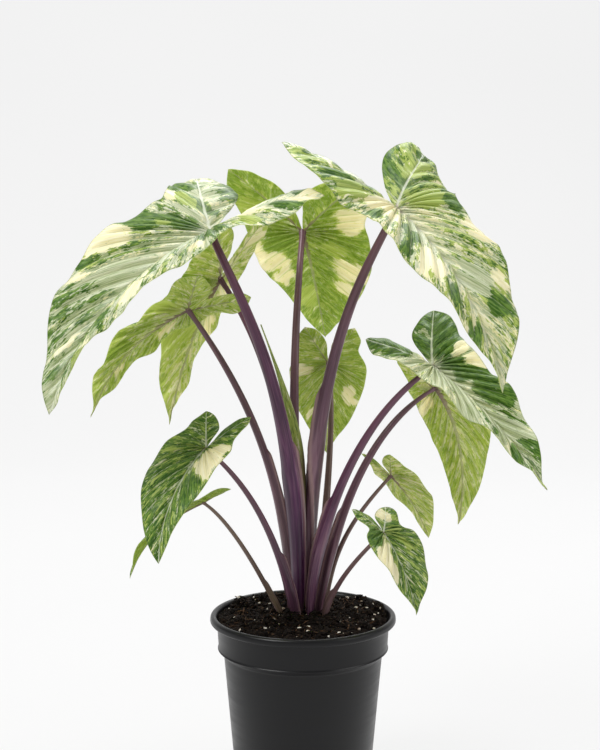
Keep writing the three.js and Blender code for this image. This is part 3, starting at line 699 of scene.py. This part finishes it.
def blade_sheet(blade, seed):
    """One blade as a single sheet: its points' places, flat places, ways along the veins and
    distances to the margin, then its triangles, by point and by corner, and what a corner holds
    for the tissue: place along the vein, count of veins, seed."""
    places, flats, ways, margins, corners, triangles, count = [], [], [], [], [], [], 0
    rows, inner_rows = ROWS_LARGE if blade.large else ROWS_SMALL
    halves = [(side, *half) for side, (rib, outer, inner) in blade.halves.items()
              for half in ((side, rib, outer, blade.veins, rows, True),
                           (-side, rib, inner, blade.rib_veins, inner_rows, False))]
    for side, sign, rib, edge, veins, cells, in_front in halves:
        steps = np.arange(veins * POINTS_PER_VEIN + 1)
        vein = np.repeat(steps / POINTS_PER_VEIN, cells + 1)
        share = np.tile((np.arange(cells + 1) / cells) ** ROW_POWER, len(steps))
        base = blade.base_of(rib, vein)
        reach = edge(vein / veins) - base
        flat = base + reach * share[:, None]
        span = np.linalg.norm(reach, axis=1)
        places.append(blade.hang(side, flat, share * in_front, vein / blade.veins * in_front))
        flats.append(flat * (1, side))
        ways.append(reach / np.maximum(span, 1e-6)[:, None] * (1, side))
        margins.append(span * (1 - share))
        corners.append(np.stack([sign * span * share, vein, np.full(len(vein), float(seed))], -1))
        ids = count + np.arange(len(vein)).reshape(len(steps), cells + 1)
        a, b, c, d = (v.ravel() for v in (ids[:-1, :-1], ids[1:, :-1], ids[1:, 1:], ids[:-1, 1:]))
        pairs = [(a, c, b), (a, d, c)] if sign < 0 else [(a, b, c), (a, c, d)]
        triangles += [np.stack(p, -1) for p in pairs]
        count += len(vein)
    places, flats, ways, corners = (np.vstack(v) for v in (places, flats, ways, corners))
    margins, triangles = np.concatenate(margins), np.vstack(triangles)
    _, first, weld = np.unique(np.round(places / WELD + WELD_SHIFT).astype(int), axis=0,
                               return_index=True, return_inverse=True)
    welded = weld.ravel()[triangles]
    whole = np.all(welded != np.roll(welded, -1, axis=1), axis=1)
    return (places[first], flats[first], ways[first], margins[first], welded[whole],
            triangles[whole], corners, first)


def build_blade(name, blade, seed, materials):
    """A closed blade of two faces and a rim, with what its skin is painted by on its corners."""
    places, flats, ways, margins, faces, corner_ids, corners, first = blade_sheet(blade, seed)
    rib, tipward, on_midrib = blade.rib_distances(flats)

    # the skin is drawn down a little at each vein and swells between them
    off_vein = np.abs((corners[first, 1] + 0.5) % 1 - 0.5) * VEIN_PITCH
    inland = np.clip(margins / 12, 0, 1) * np.clip(rib / 3, 0, 1)
    swell = (np.clip(off_vein / 8, 0, 1) ** 0.7 - 0.5) * (SWELL_LARGE if blade.large else SWELL_SMALL)
    ripple = np.array([noise.noise(Vector((*p, seed)) / RIPPLE_SIZE) for p in flats])
    ripple = ripple * RIPPLE * blade.wave * (1 - np.clip(margins / RIPPLE_REACH, 0, 1))
    places = places + normals_of(places, faces) * (swell * inland + ripple)[:, None]
    normal = normals_of(places, faces)
    half_thick = BLADE_EDGE / 2 * (0.45 + 0.55 * np.clip(margins / 8, 0, 1))
    size = blade.length / 190 + 0.15
    ridge = RIDGE * size * (1 - 0.85 * tipward) * bell(rib, 1.7 * size * (1 - 0.7 * tipward))
    vein_ridge = VEIN_RIDGE * size * bell(off_vein, 1.4) * inland
    top = places + normal * (half_thick - GROOVE * bell(rib, 1.6))[:, None]
    under = places - normal * (half_thick + ridge + vein_ridge)[:, None]

    n = len(places)
    sides, ids = sides_of(faces), sides_of(corner_ids)
    _, where, often = np.unique(np.sort(sides, axis=1), axis=0, return_index=True, return_counts=True)
    (a, b), (rim_a, rim_b) = sides[where[often == 1]].T, ids[where[often == 1]].T
    all_faces = np.vstack([faces, faces[:, ::-1] + n, np.stack([a, a + n, b + n], -1),
                           np.stack([a, b + n, b], -1)])
    all_corners = np.vstack([corner_ids, corner_ids[:, ::-1], np.stack([rim_a, rim_a, rim_b], -1),
                             np.stack([rim_a, rim_b, rim_b], -1)])
    skin = np.clip(np.vstack([top, under]), *(np.array(corner) / MM for corner in cad_box))
    piece = new_piece(name + "_leaf_blade", skin, all_faces.tolist(), materials[0])
    mesh = piece.data
    mesh.materials.append(materials[1])
    mesh.polygons.foreach_set("material_index", [0] * len(faces) + [1] * (len(all_faces) - len(faces)))

    near_rib = bell(rib, 15 * size * (1 - 0.75 * tipward))
    halo = max(0, MARKINGS[name][2] - 0.2) * bell(rib, 8 * size * (1 - 0.6 * tipward))
    upper_bare, lower_bare = tissue_levels(flats, ways, near_rib, MARKINGS[name])
    # ribs are finer on the lobes and on small leaves, so they are painted as if they lay farther off
    fineness = min(1, size) * np.where(on_midrib, 1, 0.72)
    for what, values in {"rib": rib / fineness, "tipward": tipward, "margin": margins,
                         "halo": halo * np.where(on_midrib, 1, 0.3), "upper_bare": upper_bare,
                         "lower_bare": lower_bare}.items():
        store(mesh, what, np.tile(values, 2))
    store(mesh, "vein", corners[all_corners.ravel()], "CORNER")
    mesh.update()
    return piece


def sums(tree, operation, a, b=0.0):
    """A number worked out of one or two others."""
    return out_of(tree, "ShaderNodeMath", {0: a, 1: b}, operation=operation)


# The mosaic of a layer of tissue: noises by their length and width in mm, start, bend and weight
MOSAIC = ((19, 4.4, 0, 0.5, 0.3), (9, 6.5, 5, 0.9, 0.33), (4.6, 2.4, 11, 0.5, 0.23),
          (2.3, 1.4, 17, 0.5, 0.14))
MOSAIC_CONTRAST = 8.5
# Shares of a layer's pale tissue that lies beside the veins: above along them, below between them
UPPER_FEATHER, LOWER_FEATHER = 1.7, -0.8
SMALL_VEINS = 5


def blade_skin(name, greens, limes, silvers, creams, halo, ribs, rib_turn, veins, edge, glow,
               roughness, soft, swelling):
    """Leaf skin over two layers of tissue: green shows dark, bare tissue over or under it pale."""
    material, tree, shader = new_finish(name, roughness, 1.42, 0.42)
    vein = add(tree, "ShaderNodeAttribute", attribute_name="vein").outputs["Vector"]
    carried = lambda what: add(tree, "ShaderNodeAttribute", attribute_name=what).outputs["Fac"]
    rib, tipward, margin = (carried(what) for what in ("rib", "tipward", "margin"))
    count = add(tree, "ShaderNodeSeparateXYZ", {0: vein}).outputs[1]
    times, plus, less, divided = (
        lambda a, b, operation=operation: sums(tree, operation, a, b)
        for operation in ("MULTIPLY", "ADD", "SUBTRACT", "DIVIDE"))

    def streaks(long, wide, start, detail=3.0, bend=0.5):
        """Noise drawn out along the side veins, in millimetres along and across them."""
        stretch = {"Vector": vein, "Location": (start, start, 0),
                   "Scale": (1 / long, VEIN_PITCH / wide, 3.7)}
        return grain(tree, out_of(tree, "ShaderNodeMapping", stretch), 1, detail, 0.6, bend)

    def off_line(share):
        """How far a point is from the nearest of the veins that are so many to a pitch."""
        turn = sums(tree, "FRACT", plus(times(count, share), 0.5))
        return sums(tree, "ABSOLUTE", less(turn, 0.5))

    flecks = between(tree, streaks(6, 2.4, 3), 0.36, 0.64)
    hair_lines = between(tree, streaks(30, 1.6, 8, 2), 0.34, 0.66)
    inland = times(between(tree, margin, 1, 14), between(tree, rib, 0.5, 3))

    def bare(level, start, feather):
        """Where a layer of tissue lacks green: sharp edged, streaked along the veins."""
        mosaic = reduce(plus, [times(streaks(long, wide, start + offset, 3.0, bend), weight)
                               for long, wide, offset, bend, weight in MOSAIC])
        field = plus(times(less(mosaic, 0.5), MOSAIC_CONTRAST), carried(level))
        beside = times(less(0.25, off_line(1)), feather)
        return between(tree, plus(field, times(beside, inland)), -soft, soft)

    upper = bare("upper_bare", 0, UPPER_FEATHER)
    lower = bare("lower_bare", 40, LOWER_FEATHER)
    over_green = mixed(tree, lower, toned(tree, flecks, *greens), toned(tree, hair_lines, *limes))
    over_bare = mixed(tree, lower, toned(tree, hair_lines, *silvers), toned(tree, hair_lines, *creams))
    body = mixed(tree, upper, over_green, over_bare)

    # side veins, then the finer ones between them, then the ribs over all
    vein_width = between(tree, margin, 0, 40, 0.025, 0.085)
    side_vein = times(between(tree, divided(off_line(1), vein_width), 1.3, 0.3), inland)
    small_vein = times(between(tree, off_line(SMALL_VEINS), 0.2, 0.03), inland)
    shown = between(tree, upper, 0, 1, 0.3, 1)
    streaked = between(tree, hair_lines, 0, 1, 0.6, 1)
    body = painted(tree, body, times(carried("halo"), streaked), halo)
    body = painted(tree, body, times(times(side_vein, shown), 0.6), veins)
    body = painted(tree, body, times(times(small_vein, shown), 0.16), veins)
    on_rib = between(tree, divided(rib, between(tree, tipward, 0, 1, 1.9, 0.55)), 1.2, 0.6)
    body = mixed(tree, times(on_rib, 0.8), body, toned(tree, between(tree, tipward, *rib_turn), *ribs))
    body = painted(tree, body, between(tree, margin, 0.9, 0.2, 0, 0.55), edge)

    pillow = times(between(tree, off_line(1), 0, 0.42), plus(times(inland, 1.4), 0.2))
    height = plus(plus(times(side_vein, -0.5), times(small_vein, -0.2)), pillow)
    height = times(plus(height, times(hair_lines, 0.2)), swelling)
    relief = cover(tree, shader, body, height, 0.8, 0.8)
    lit = out_of(tree, "ShaderNodeHueSaturation", {"Color": body, "Saturation": 1.12, "Value": 1.2})
    through = out_of(tree, "ShaderNodeBsdfTranslucent", {"Color": lit, "Normal": relief})
    both = out_of(tree, "ShaderNodeMixShader", {0: glow, 1: shader.outputs[0], 2: through})
    output = next(node for node in tree.nodes if node.type == "OUTPUT_MATERIAL")
    tree.links.new(both, output.inputs["Surface"])
    return material


# Upper skin: smooth with a thin wax bloom, so its highlights are wide and its green is cool
upper_skin = blade_skin(
    "leaf_upper_skin", greens=("#396020", "#769642"), limes=("#98ad52", "#c0cc76"),
    silvers=("#a6b385", "#e2e3cf"), creams=("#f0e8bf", "#f8f4dd"), halo="#eaece0",
    ribs=("#b79a94", "#e6e9dc"), rib_turn=(0.0, 0.06), veins="#e2e6cf", edge="#7f8f55", glow=0.34,
    roughness=0.34, soft=0.1, swelling=1)
# Under skin: duller and yellower, with raised ribs that carry the stalk's purple outwards. Its greens
# are paler than the upper skin's, partly as the tissue is and partly as painted glow of the light that
# shines through the blade from behind
under_skin = blade_skin(
    "leaf_under_skin", greens=("#a5c33f", "#bfd45c"), limes=("#cbd968", "#dee592"),
    silvers=("#b9cb6c", "#d3dda2"), creams=("#f3efcb", "#faf6e0"), halo="#d3dc9e",
    ribs=("#7d5664", "#b3b587"), rib_turn=(0.02, 0.4), veins="#d3dd95", edge="#d9e49c", glow=0.45,
    roughness=0.5, soft=0.34, swelling=-0.7)

noise.seed_set(PATCH_SEED)
for seed, (name, values) in enumerate(BLADES.items()):
    piece = build_blade(name, Blade(values), seed + 1, (upper_skin, under_skin))
    set_down(piece, "blade", name + "_blade")


# ------------------------------------------------------------------ Leaf stalks
# Each leaf stands on one long fleshy stalk, grown in one with its blade. The lower part is a sheath
# with two thin wings, which was wrapped round the next younger stalk before that one came out.
CROWN = (4.0, 8.0, 148.3)
BELLY_STEP = 0.28
TAPER_POWER = 0.45
SHEATH_FLATNESS = 0.6
STALK_POINTS = 90
STALK_SIDES = 36
STALK_TURN_STEP = 0.75
# How far under the junction the top's centre is, in mm, and how the top flares into the blade
TOP_UNDER = 0.5
FLARE, FLARE_STEP = 0.3, 0.965
# The sheath's wings: height as a share of the belly's half width, where they start and how fast they
# end along the stalk, their angle from the crown's side and width, and where the colour is full, in mm
WING_HEIGHT = 0.42
WING_START, WING_END = 0.1, 0.035
WING_ANGLE, WING_WIDTH = math.radians(42), math.radians(15)
WING_FULL = 3
# The radius that every stalk has for its lines, and how far apart those of two stalks are, in mm
LINES_RADIUS = 5
LINES_APART = 31.0

# As in the solids: foot (distance, azimuth), rise and arrive (azimuth, elevation, length), the half
# widths at the foot, belly and top, how far up the sheath's wings reach, and how tan the skin is
STALKS = {
    "tall_left": ((11, 214), (0, 89, 210), (150, 62, 85), (5.5, 10, 3), 0.36, 0),
    "tall_right": ((8.6, 78), (170, 89, 250), (-30, 62, 60), (5.5, 8.5, 3), 0.4, 0.26),
    "tall_back": ((20, 97), (150, 84, 170), (78, 66, 90), (5, 6, 2.7), 0.3, 0.3),
    "middle_left": ((16.5, 166), (0, 88, 130), (180, 54, 85), (4, 7, 2.2), 0.5, 0.34),
    "middle_left_back": ((19, 134), (60, 86, 160), (150, 50, 80), (4, 5.5, 2.3), 0.35, 0.1),
    "low_left_front": ((17.9, 247), (225, 76, 50), (200, 40, 75), (3.5, 6, 1.8), 0.46, 0.2),
    "low_left": ((17.5, 193), (190, 70, 25), (195, 33, 35), (3, 3.8, 1.5), 0.42, 1.0),
    "middle_back": ((17, 60), (40, 86, 90), (105, 62, 60), (3.8, 4.6, 2), 0.3, 0.8),
    "middle_right": ((14, -86), (-25, 88, 110), (-15, 34, 70), (4, 8, 2.2), 0.42, 0.1),
    "middle_right_back": ((9, -34), (8, 83, 105), (10, 26, 65), (3.8, 7, 2.2), 0.4, 0.3),
    "low_right_back": ((16, 26), (28, 88, 70), (25, 42, 50), (3.2, 3.6, 1.6), 0.3, 0.7),
    "low_right_front": ((16.2, -40), (-50, 84, 40), (-35, 44, 40), (3.2, 3.6, 1.6), 0.4, 0.6),
}


def drawn_out(tree, place, across, along, detail, roughness, distortion=0.0):
    """Noise drawn out lengthwise, so many millimetres across and along."""
    stretch = {"Vector": place, "Scale": (1 / across, 1 / across, 1 / along)}
    return grain(tree, out_of(tree, "ShaderNodeMapping", stretch), 1, detail, roughness, distortion)


# Stalk skin: aubergine purple under a thin bloom, finely lined lengthwise, browner on the sheath
stalk_skin, tree, shader = new_finish("purple_stalk_skin", 0.33)
round_place = add(tree, "ShaderNodeAttribute", attribute_name="round_place").outputs["Vector"]
along, tan, sheath = (add(tree, "ShaderNodeAttribute", attribute_name=what).outputs["Fac"]
                      for what in ("along", "tan", "sheath"))
lines = drawn_out(tree, round_place, 1.1, 45, 3, 0.6)
clouds = drawn_out(tree, round_place, 7, 90, 3, 0.55, 0.5)
cloudy = between(tree, clouds, 0.35, 0.65)
body = mixed(tree, between(tree, along, 0.15, 0.8), toned(tree, cloudy, "#3a123a", "#5e2a5a"),
             toned(tree, cloudy, "#44203a", "#663a54"))
tan = sums(tree, "MULTIPLY", tan, between(tree, clouds, 0.3, 0.6, 0.6, 1.0))
tan = sums(tree, "MULTIPLY", tan, between(tree, along, 0.45, 0.25, 0.75, 1.0))
pale = sums(tree, "MULTIPLY", between(tree, clouds, 0.54, 0.68, 0, 0.5), between(tree, along, 0.5, 0.2))
for share, colour in (
        (between(tree, lines, 0.42, 0.72, 0, 0.28), "#8c6478"), (tan, "#85745c"), (pale, "#a98593"),
        (between(tree, sheath, 0.2, 0.85, 0, 0.85), "#ac8c8c"),
        (between(tree, along, 0.06, 0.0, 0, 0.75), "#8a7a5c")):
    body = painted(tree, body, share, colour)
cover(tree, shader, body, lines, 0.5, 0.3)


def sweep_tree():
    """A stalk grown along its line: sections as wide and thick as the line says, with two wings."""
    tree, given = start_growth("stalk_along_its_line", ("Sides", "Int"), ("Wing angle", "Float"),
                               ("Wing width", "Float"))
    carried = lambda what, kind="FLOAT_VECTOR": out_of(
        tree, "GeometryNodeInputNamedAttribute", {"Name": what}, data_type=kind)
    marked = lambda geometry, what, value, kind: out_of(
        tree, "GeometryNodeStoreNamedAttribute", {"Geometry": geometry, "Name": what, "Value": value},
        data_type=kind, domain="POINT")
    line = out_of(tree, "GeometryNodeMeshToCurve", {"Mesh": given["Geometry"]})
    ring = out_of(tree, "GeometryNodeCurvePrimitiveCircle",
                  {"Resolution": given["Sides"], "Radius": 1.0})
    ring = marked(ring, "around", out_of(tree, "GeometryNodeInputPosition"), "FLOAT_VECTOR")
    tube = out_of(tree, "GeometryNodeCurveToMesh",
                  {"Curve": line, "Profile Curve": ring, "Fill Caps": True})
    around = add(tree, "ShaderNodeSeparateXYZ", {0: carried("around")}).outputs
    wide, thick = (out_of(tree, "ShaderNodeVectorMath", {0: carried(what), "Scale": around[k]},
                          operation="SCALE") for k, what in enumerate(("wide", "thick")))
    out = out_of(tree, "ShaderNodeVectorMath", {0: wide, 1: thick}, operation="ADD")
    facing = out_of(tree, "ShaderNodeVectorMath", {0: out}, operation="NORMALIZE")
    lined_up = add(tree, "ShaderNodeVectorMath", {0: facing, 1: carried("inward")},
                   operation="DOT_PRODUCT").outputs["Value"]
    angle = sums(tree, "ARCCOSINE", lined_up)
    miss = sums(tree, "DIVIDE", sums(tree, "SUBTRACT", angle, given["Wing angle"]), given["Wing width"])
    bump = sums(tree, "EXPONENT", sums(tree, "MULTIPLY", sums(tree, "MULTIPLY", miss, miss), -1.0))
    wing = sums(tree, "MULTIPLY", bump, carried("wing", "FLOAT"))
    push = out_of(tree, "ShaderNodeVectorMath", {0: facing, "Scale": wing}, operation="SCALE")
    winged = out_of(tree, "ShaderNodeVectorMath", {0: out, 1: push}, operation="ADD")
    place = out_of(tree, "ShaderNodeVectorMath", {0: carried("centre"), 1: winged}, operation="ADD")
    shaped = out_of(tree, "GeometryNodeSetPosition", {"Geometry": tube, "Position": place})
    shaped = marked(shaped, "sheath", sums(tree, "MULTIPLY", wing, 1 / (WING_FULL * MM)), "FLOAT")
    smooth = out_of(tree, "GeometryNodeSetShadeSmooth", {0: shaped})
    real = out_of(tree, "GeometryNodeRealizeInstances", {"Geometry": smooth})
    return end_growth(tree, given, real)


def smooth_step(value, low, high):
    """A smooth step of plain numbers, from 0 at one limit to 1 at another."""
    t = np.clip((value - low) / (high - low), 0, 1)
    return t * t * (3 - 2 * t)


def stalk_line(name, foot, rise, top, arrive, end_normal, sizes, wings, tan, seed):
    """The stalk's centre line as a wire that carries its section at every point."""
    t = np.linspace(0, 1, STALK_POINTS)[:, None]
    foot, top = np.array(foot, float), np.array(top, float)
    a, b = foot + towards(*rise[:2]) * rise[2], top - towards(*arrive[:2]) * arrive[2]
    centre = (1 - t) ** 3 * foot + 3 * t * (1 - t) ** 2 * a + 3 * t ** 2 * (1 - t) * b + t ** 3 * top
    way = unit(3 * ((1 - t) ** 2 * (a - foot) + 2 * t * (1 - t) * (b - a) + t ** 2 * (top - b)))
    turn = np.clip((t - STALK_TURN_STEP) / (1 - STALK_TURN_STEP), 0, 1)
    way = way * (1 - turn) + end_normal * turn
    way[0] = (0, 0, 1)
    way = unit(way)
    away = top - foot
    across = np.array([-away[1], away[0], 0]) / math.hypot(away[0], away[1])
    wide = unit(across - way * (way @ across)[:, None])
    half_wide, half_thick = sizes(t[:, 0])
    to_crown = np.array([CROWN[0], CROWN[1], 0]) - centre * (1, 1, 0)
    gone = distance_along(centre)
    wire = bpy.data.meshes.new(name + "_line")
    wire.from_pydata([tuple(p) for p in centre * MM], [(i, i + 1) for i in range(STALK_POINTS - 1)], [])
    for what, values in {
            "centre": centre * MM, "wide": wide * half_wide[:, None] * MM,
            "thick": np.cross(way, wide) * half_thick[:, None] * MM,
            "inward": unit(to_crown - way * (way * to_crown).sum(1)[:, None]),
            "line_place": np.column_stack([np.full(len(gone), LINES_APART * seed), 0 * gone, gone]),
            "wing": wings(t[:, 0]) * MM, "along": t[:, 0], "tan": tan + 0 * t[:, 0]}.items():
        store(wire, what, values)
    return wire


def paint_round(piece):
    """Gives every point its place round the stalk and along it, for lines that run lengthwise."""
    mesh = piece.data
    count = len(mesh.vertices)
    line, around = np.zeros(count * 3, np.float32), np.zeros(count * 3, np.float32)
    mesh.attributes["line_place"].data.foreach_get("vector", line)
    mesh.attributes["around"].data.foreach_get("vector", around)
    around = around.reshape(-1, 3) * (LINES_RADIUS, LINES_RADIUS, 0)
    store(mesh, "round_place", line.reshape(-1, 3) + around)
    for spare in ("centre", "wide", "thick", "inward", "line_place", "around", "wing"):
        mesh.attributes.remove(mesh.attributes[spare])


stalk_sweep = sweep_tree()
for seed, (name, (foot, rise, arrive, stalk, wing_reach, tan)) in enumerate(STALKS.items()):
    blade = Blade(BLADES[name])
    normal = blade.frame_at(1, np.zeros(1))[2][0]
    foot_width, belly_width, top_radius = stalk

    def sizes(t):
        """Half width and half thickness, which is less on the sheath."""
        taper = np.clip((t - BELLY_STEP) / (1 - BELLY_STEP), 0, 1) ** TAPER_POWER
        lower = foot_width + (belly_width - foot_width) * smooth_step(t, 0, BELLY_STEP)
        wide = lower + (top_radius - lower) * taper
        flare = 1 + FLARE * smooth_step(t, FLARE_STEP, 1)
        return wide * flare, wide * flare * (SHEATH_FLATNESS + (1 - SHEATH_FLATNESS) * taper)

    def wings(t):
        """How far the sheath's wings stand out."""
        ends = smooth_step(t, wing_reach, wing_reach - WING_END)
        return WING_HEIGHT * belly_width * smooth_step(t, 0, WING_START) * ends

    wire = stalk_line(name, towards(foot[1], 0) * foot[0] + CROWN, rise,
                      np.array(blade.junction) - normal * TOP_UNDER, arrive, normal, sizes, wings, tan,
                      seed + 1)
    piece = grown(name + "_leaf_stalk", wire, stalk_sweep,
                  {"Sides": STALK_SIDES, "Wing angle": WING_ANGLE, "Wing width": WING_WIDTH,
                   "Material": stalk_skin})
    paint_round(piece)
    set_down(piece, "petiole", name + "_petiole")


# ------------------------------------------------------------------ Rolled leaf
# The youngest blade, still rolled tightly round itself into a spear and pushing up between the
# stalks. Only the outer turn shows, with its overlapping edge and its mottled green.
ROLLED_TIP = (-37.0, 10.0, 424.0)
ROLLED_LEAN = (172, 69)
ROLLED_FOOT = (4, 173)
ROLLED_RISE, ROLLED_ARRIVE = 150, 110
# Radius at the foot, belly and tip, in mm
ROLLED_RADII = (2.6, 5.4, 0.6)
ROLLED_EDGE = 0.9
ROLLED_SIDES = 32
ROLLED_SEED = 40

# Young leaf skin: the same tissue, pale and lime where it is rolled tight, streaked lengthwise
rolled_skin, tree, shader = new_finish("rolled_leaf_skin", 0.45, 1.42, 0.45)
round_place = add(tree, "ShaderNodeAttribute", attribute_name="round_place").outputs["Vector"]
along = add(tree, "ShaderNodeAttribute", attribute_name="along").outputs["Fac"]
streaks = drawn_out(tree, round_place, 2.2, 16, 4, 0.65, 0.4)
body = toned(tree, between(tree, streaks, 0.38, 0.52), "#5d7338", "#a3b25a")
body = painted(tree, body, between(tree, streaks, 0.58, 0.64), "#e2dfb8")
body = painted(tree, body, between(tree, along, 0.62, 0.46, 0, 0.85), "#6f5f47")
cover(tree, shader, body, streaks, 0.4, 0.3)


def rolled_sizes(t):
    """Half width and half thickness, both the roll's radius."""
    foot, belly, tip = ROLLED_RADII
    lower = foot + (belly - foot) * smooth_step(t, 0.2, 0.55)
    radius = lower + (tip - lower) * smooth_step(t, 0.55, 1)
    return radius, radius


def rolled_edge(t):
    """How far the overlapping edge stands out."""
    return ROLLED_EDGE * smooth_step(t, 0.25, 0.5) * smooth_step(t, 1, 0.85)


wire = stalk_line("rolled", towards(ROLLED_FOOT[1], 0) * ROLLED_FOOT[0] + CROWN, (0, 90, ROLLED_RISE),
                  ROLLED_TIP, (*ROLLED_LEAN, ROLLED_ARRIVE), towards(*ROLLED_LEAN), rolled_sizes,
                  rolled_edge, 0, ROLLED_SEED)
piece = grown("rolled_young_leaf", wire, stalk_sweep,
              {"Sides": ROLLED_SIDES, "Wing angle": math.radians(70), "Wing width": math.radians(14),
               "Material": rolled_skin})
paint_round(piece)
set_down(piece, "rolled_leaf", "rolled_leaf")


# ------------------------------------------------------------------ Studio
# A pale seamless paper sweep, big soft lamps left and right of the camera and one behind the plant,
# so that the thin blades glow, and the camera where the photograph was taken from.
SWEEP_HALF = 2.6
SWEEP_BACK = 1.5
SWEEP_BEND = 0.8
SWEEP_TOP = 3.2
PAPER_GLOW = 0.735
ROOM_LIGHT = 0.36
LENS = 72
SENSOR_WIDTH = 36
CAMERA_PLACE = (-0.0027, -1.2975, 0.540)
CAMERA_TILT = math.radians(83)

# Seamless paper: matt, nearly white under the lamps, and a little light of its own so that it stays
# even behind the plant
paper, tree, shader = new_finish("seamless_paper", 0.9, 1.45, 0.2)
fibre = grain(tree, add(tree, "ShaderNodeTexCoord").outputs["Object"], 0.4, 2)
cover(tree, shader, toned(tree, fibre, "#606060", "#646464"))
shader.inputs["Emission Color"].default_value = linear("#ffffff")
shader.inputs["Emission Strength"].default_value = PAPER_GLOW
bend = [(SWEEP_BACK + SWEEP_BEND * math.sin(a), SWEEP_BEND * (1 - math.cos(a)))
        for a in np.linspace(0, math.pi / 2, 24)]
run = [(-SWEEP_HALF, 0.0), *bend, (SWEEP_BACK + SWEEP_BEND, SWEEP_TOP)]
points = [(x, y, z) for y, z in run for x in (-SWEEP_HALF, SWEEP_HALF)]
faces = [(2 * i, 2 * i + 1, 2 * i + 3, 2 * i + 2) for i in range(len(run) - 1)]
sweep = new_piece("paper_sweep", np.array(points) / MM, faces, paper)

world = bpy.data.worlds.new("soft_white_room")
bpy.context.scene.world = world
world.use_nodes = True
background = world.node_tree.nodes["Background"]
background.inputs["Color"].default_value = linear("#ffffff")
background.inputs["Strength"].default_value = ROOM_LIGHT
# Where each lamp is, what it points at, how wide it is and its power
for name, place, aim, size, power in (
        ("key_softbox", (-1.3, -1.0, 1.9), (0, 0, 0.4), 0.9, 40),
        ("fill_softbox", (1.6, -0.6, 1.1), (0, 0, 0.35), 1.2, 11),
        ("back_softbox", (0.3, 1.1, 1.8), (0, 0, 0.4), 1.2, 24),
        ("paper_softbox", (0, 0.7, 2.6), (0, 2.3, 0.9), 1.4, 34)):
    lamp = bpy.data.lights.new(name, "AREA")
    lamp.size = size
    lamp.energy = power
    holder = bpy.data.objects.new(name, lamp)
    holder.location = place
    holder.rotation_euler = (Vector(aim) - Vector(place)).to_track_quat("-Z", "Y").to_euler()
    bpy.context.scene.collection.objects.link(holder)

eye = bpy.data.cameras.new("photograph_camera")
eye.lens = LENS
eye.sensor_width = SENSOR_WIDTH
camera = bpy.data.objects.new("photograph_camera", eye)
camera.location = CAMERA_PLACE
camera.rotation_euler = (CAMERA_TILT, 0, 0)
bpy.context.scene.collection.objects.link(camera)
bpy.context.scene.camera = camera
bpy.context.scene.view_settings.view_transform = "Standard"
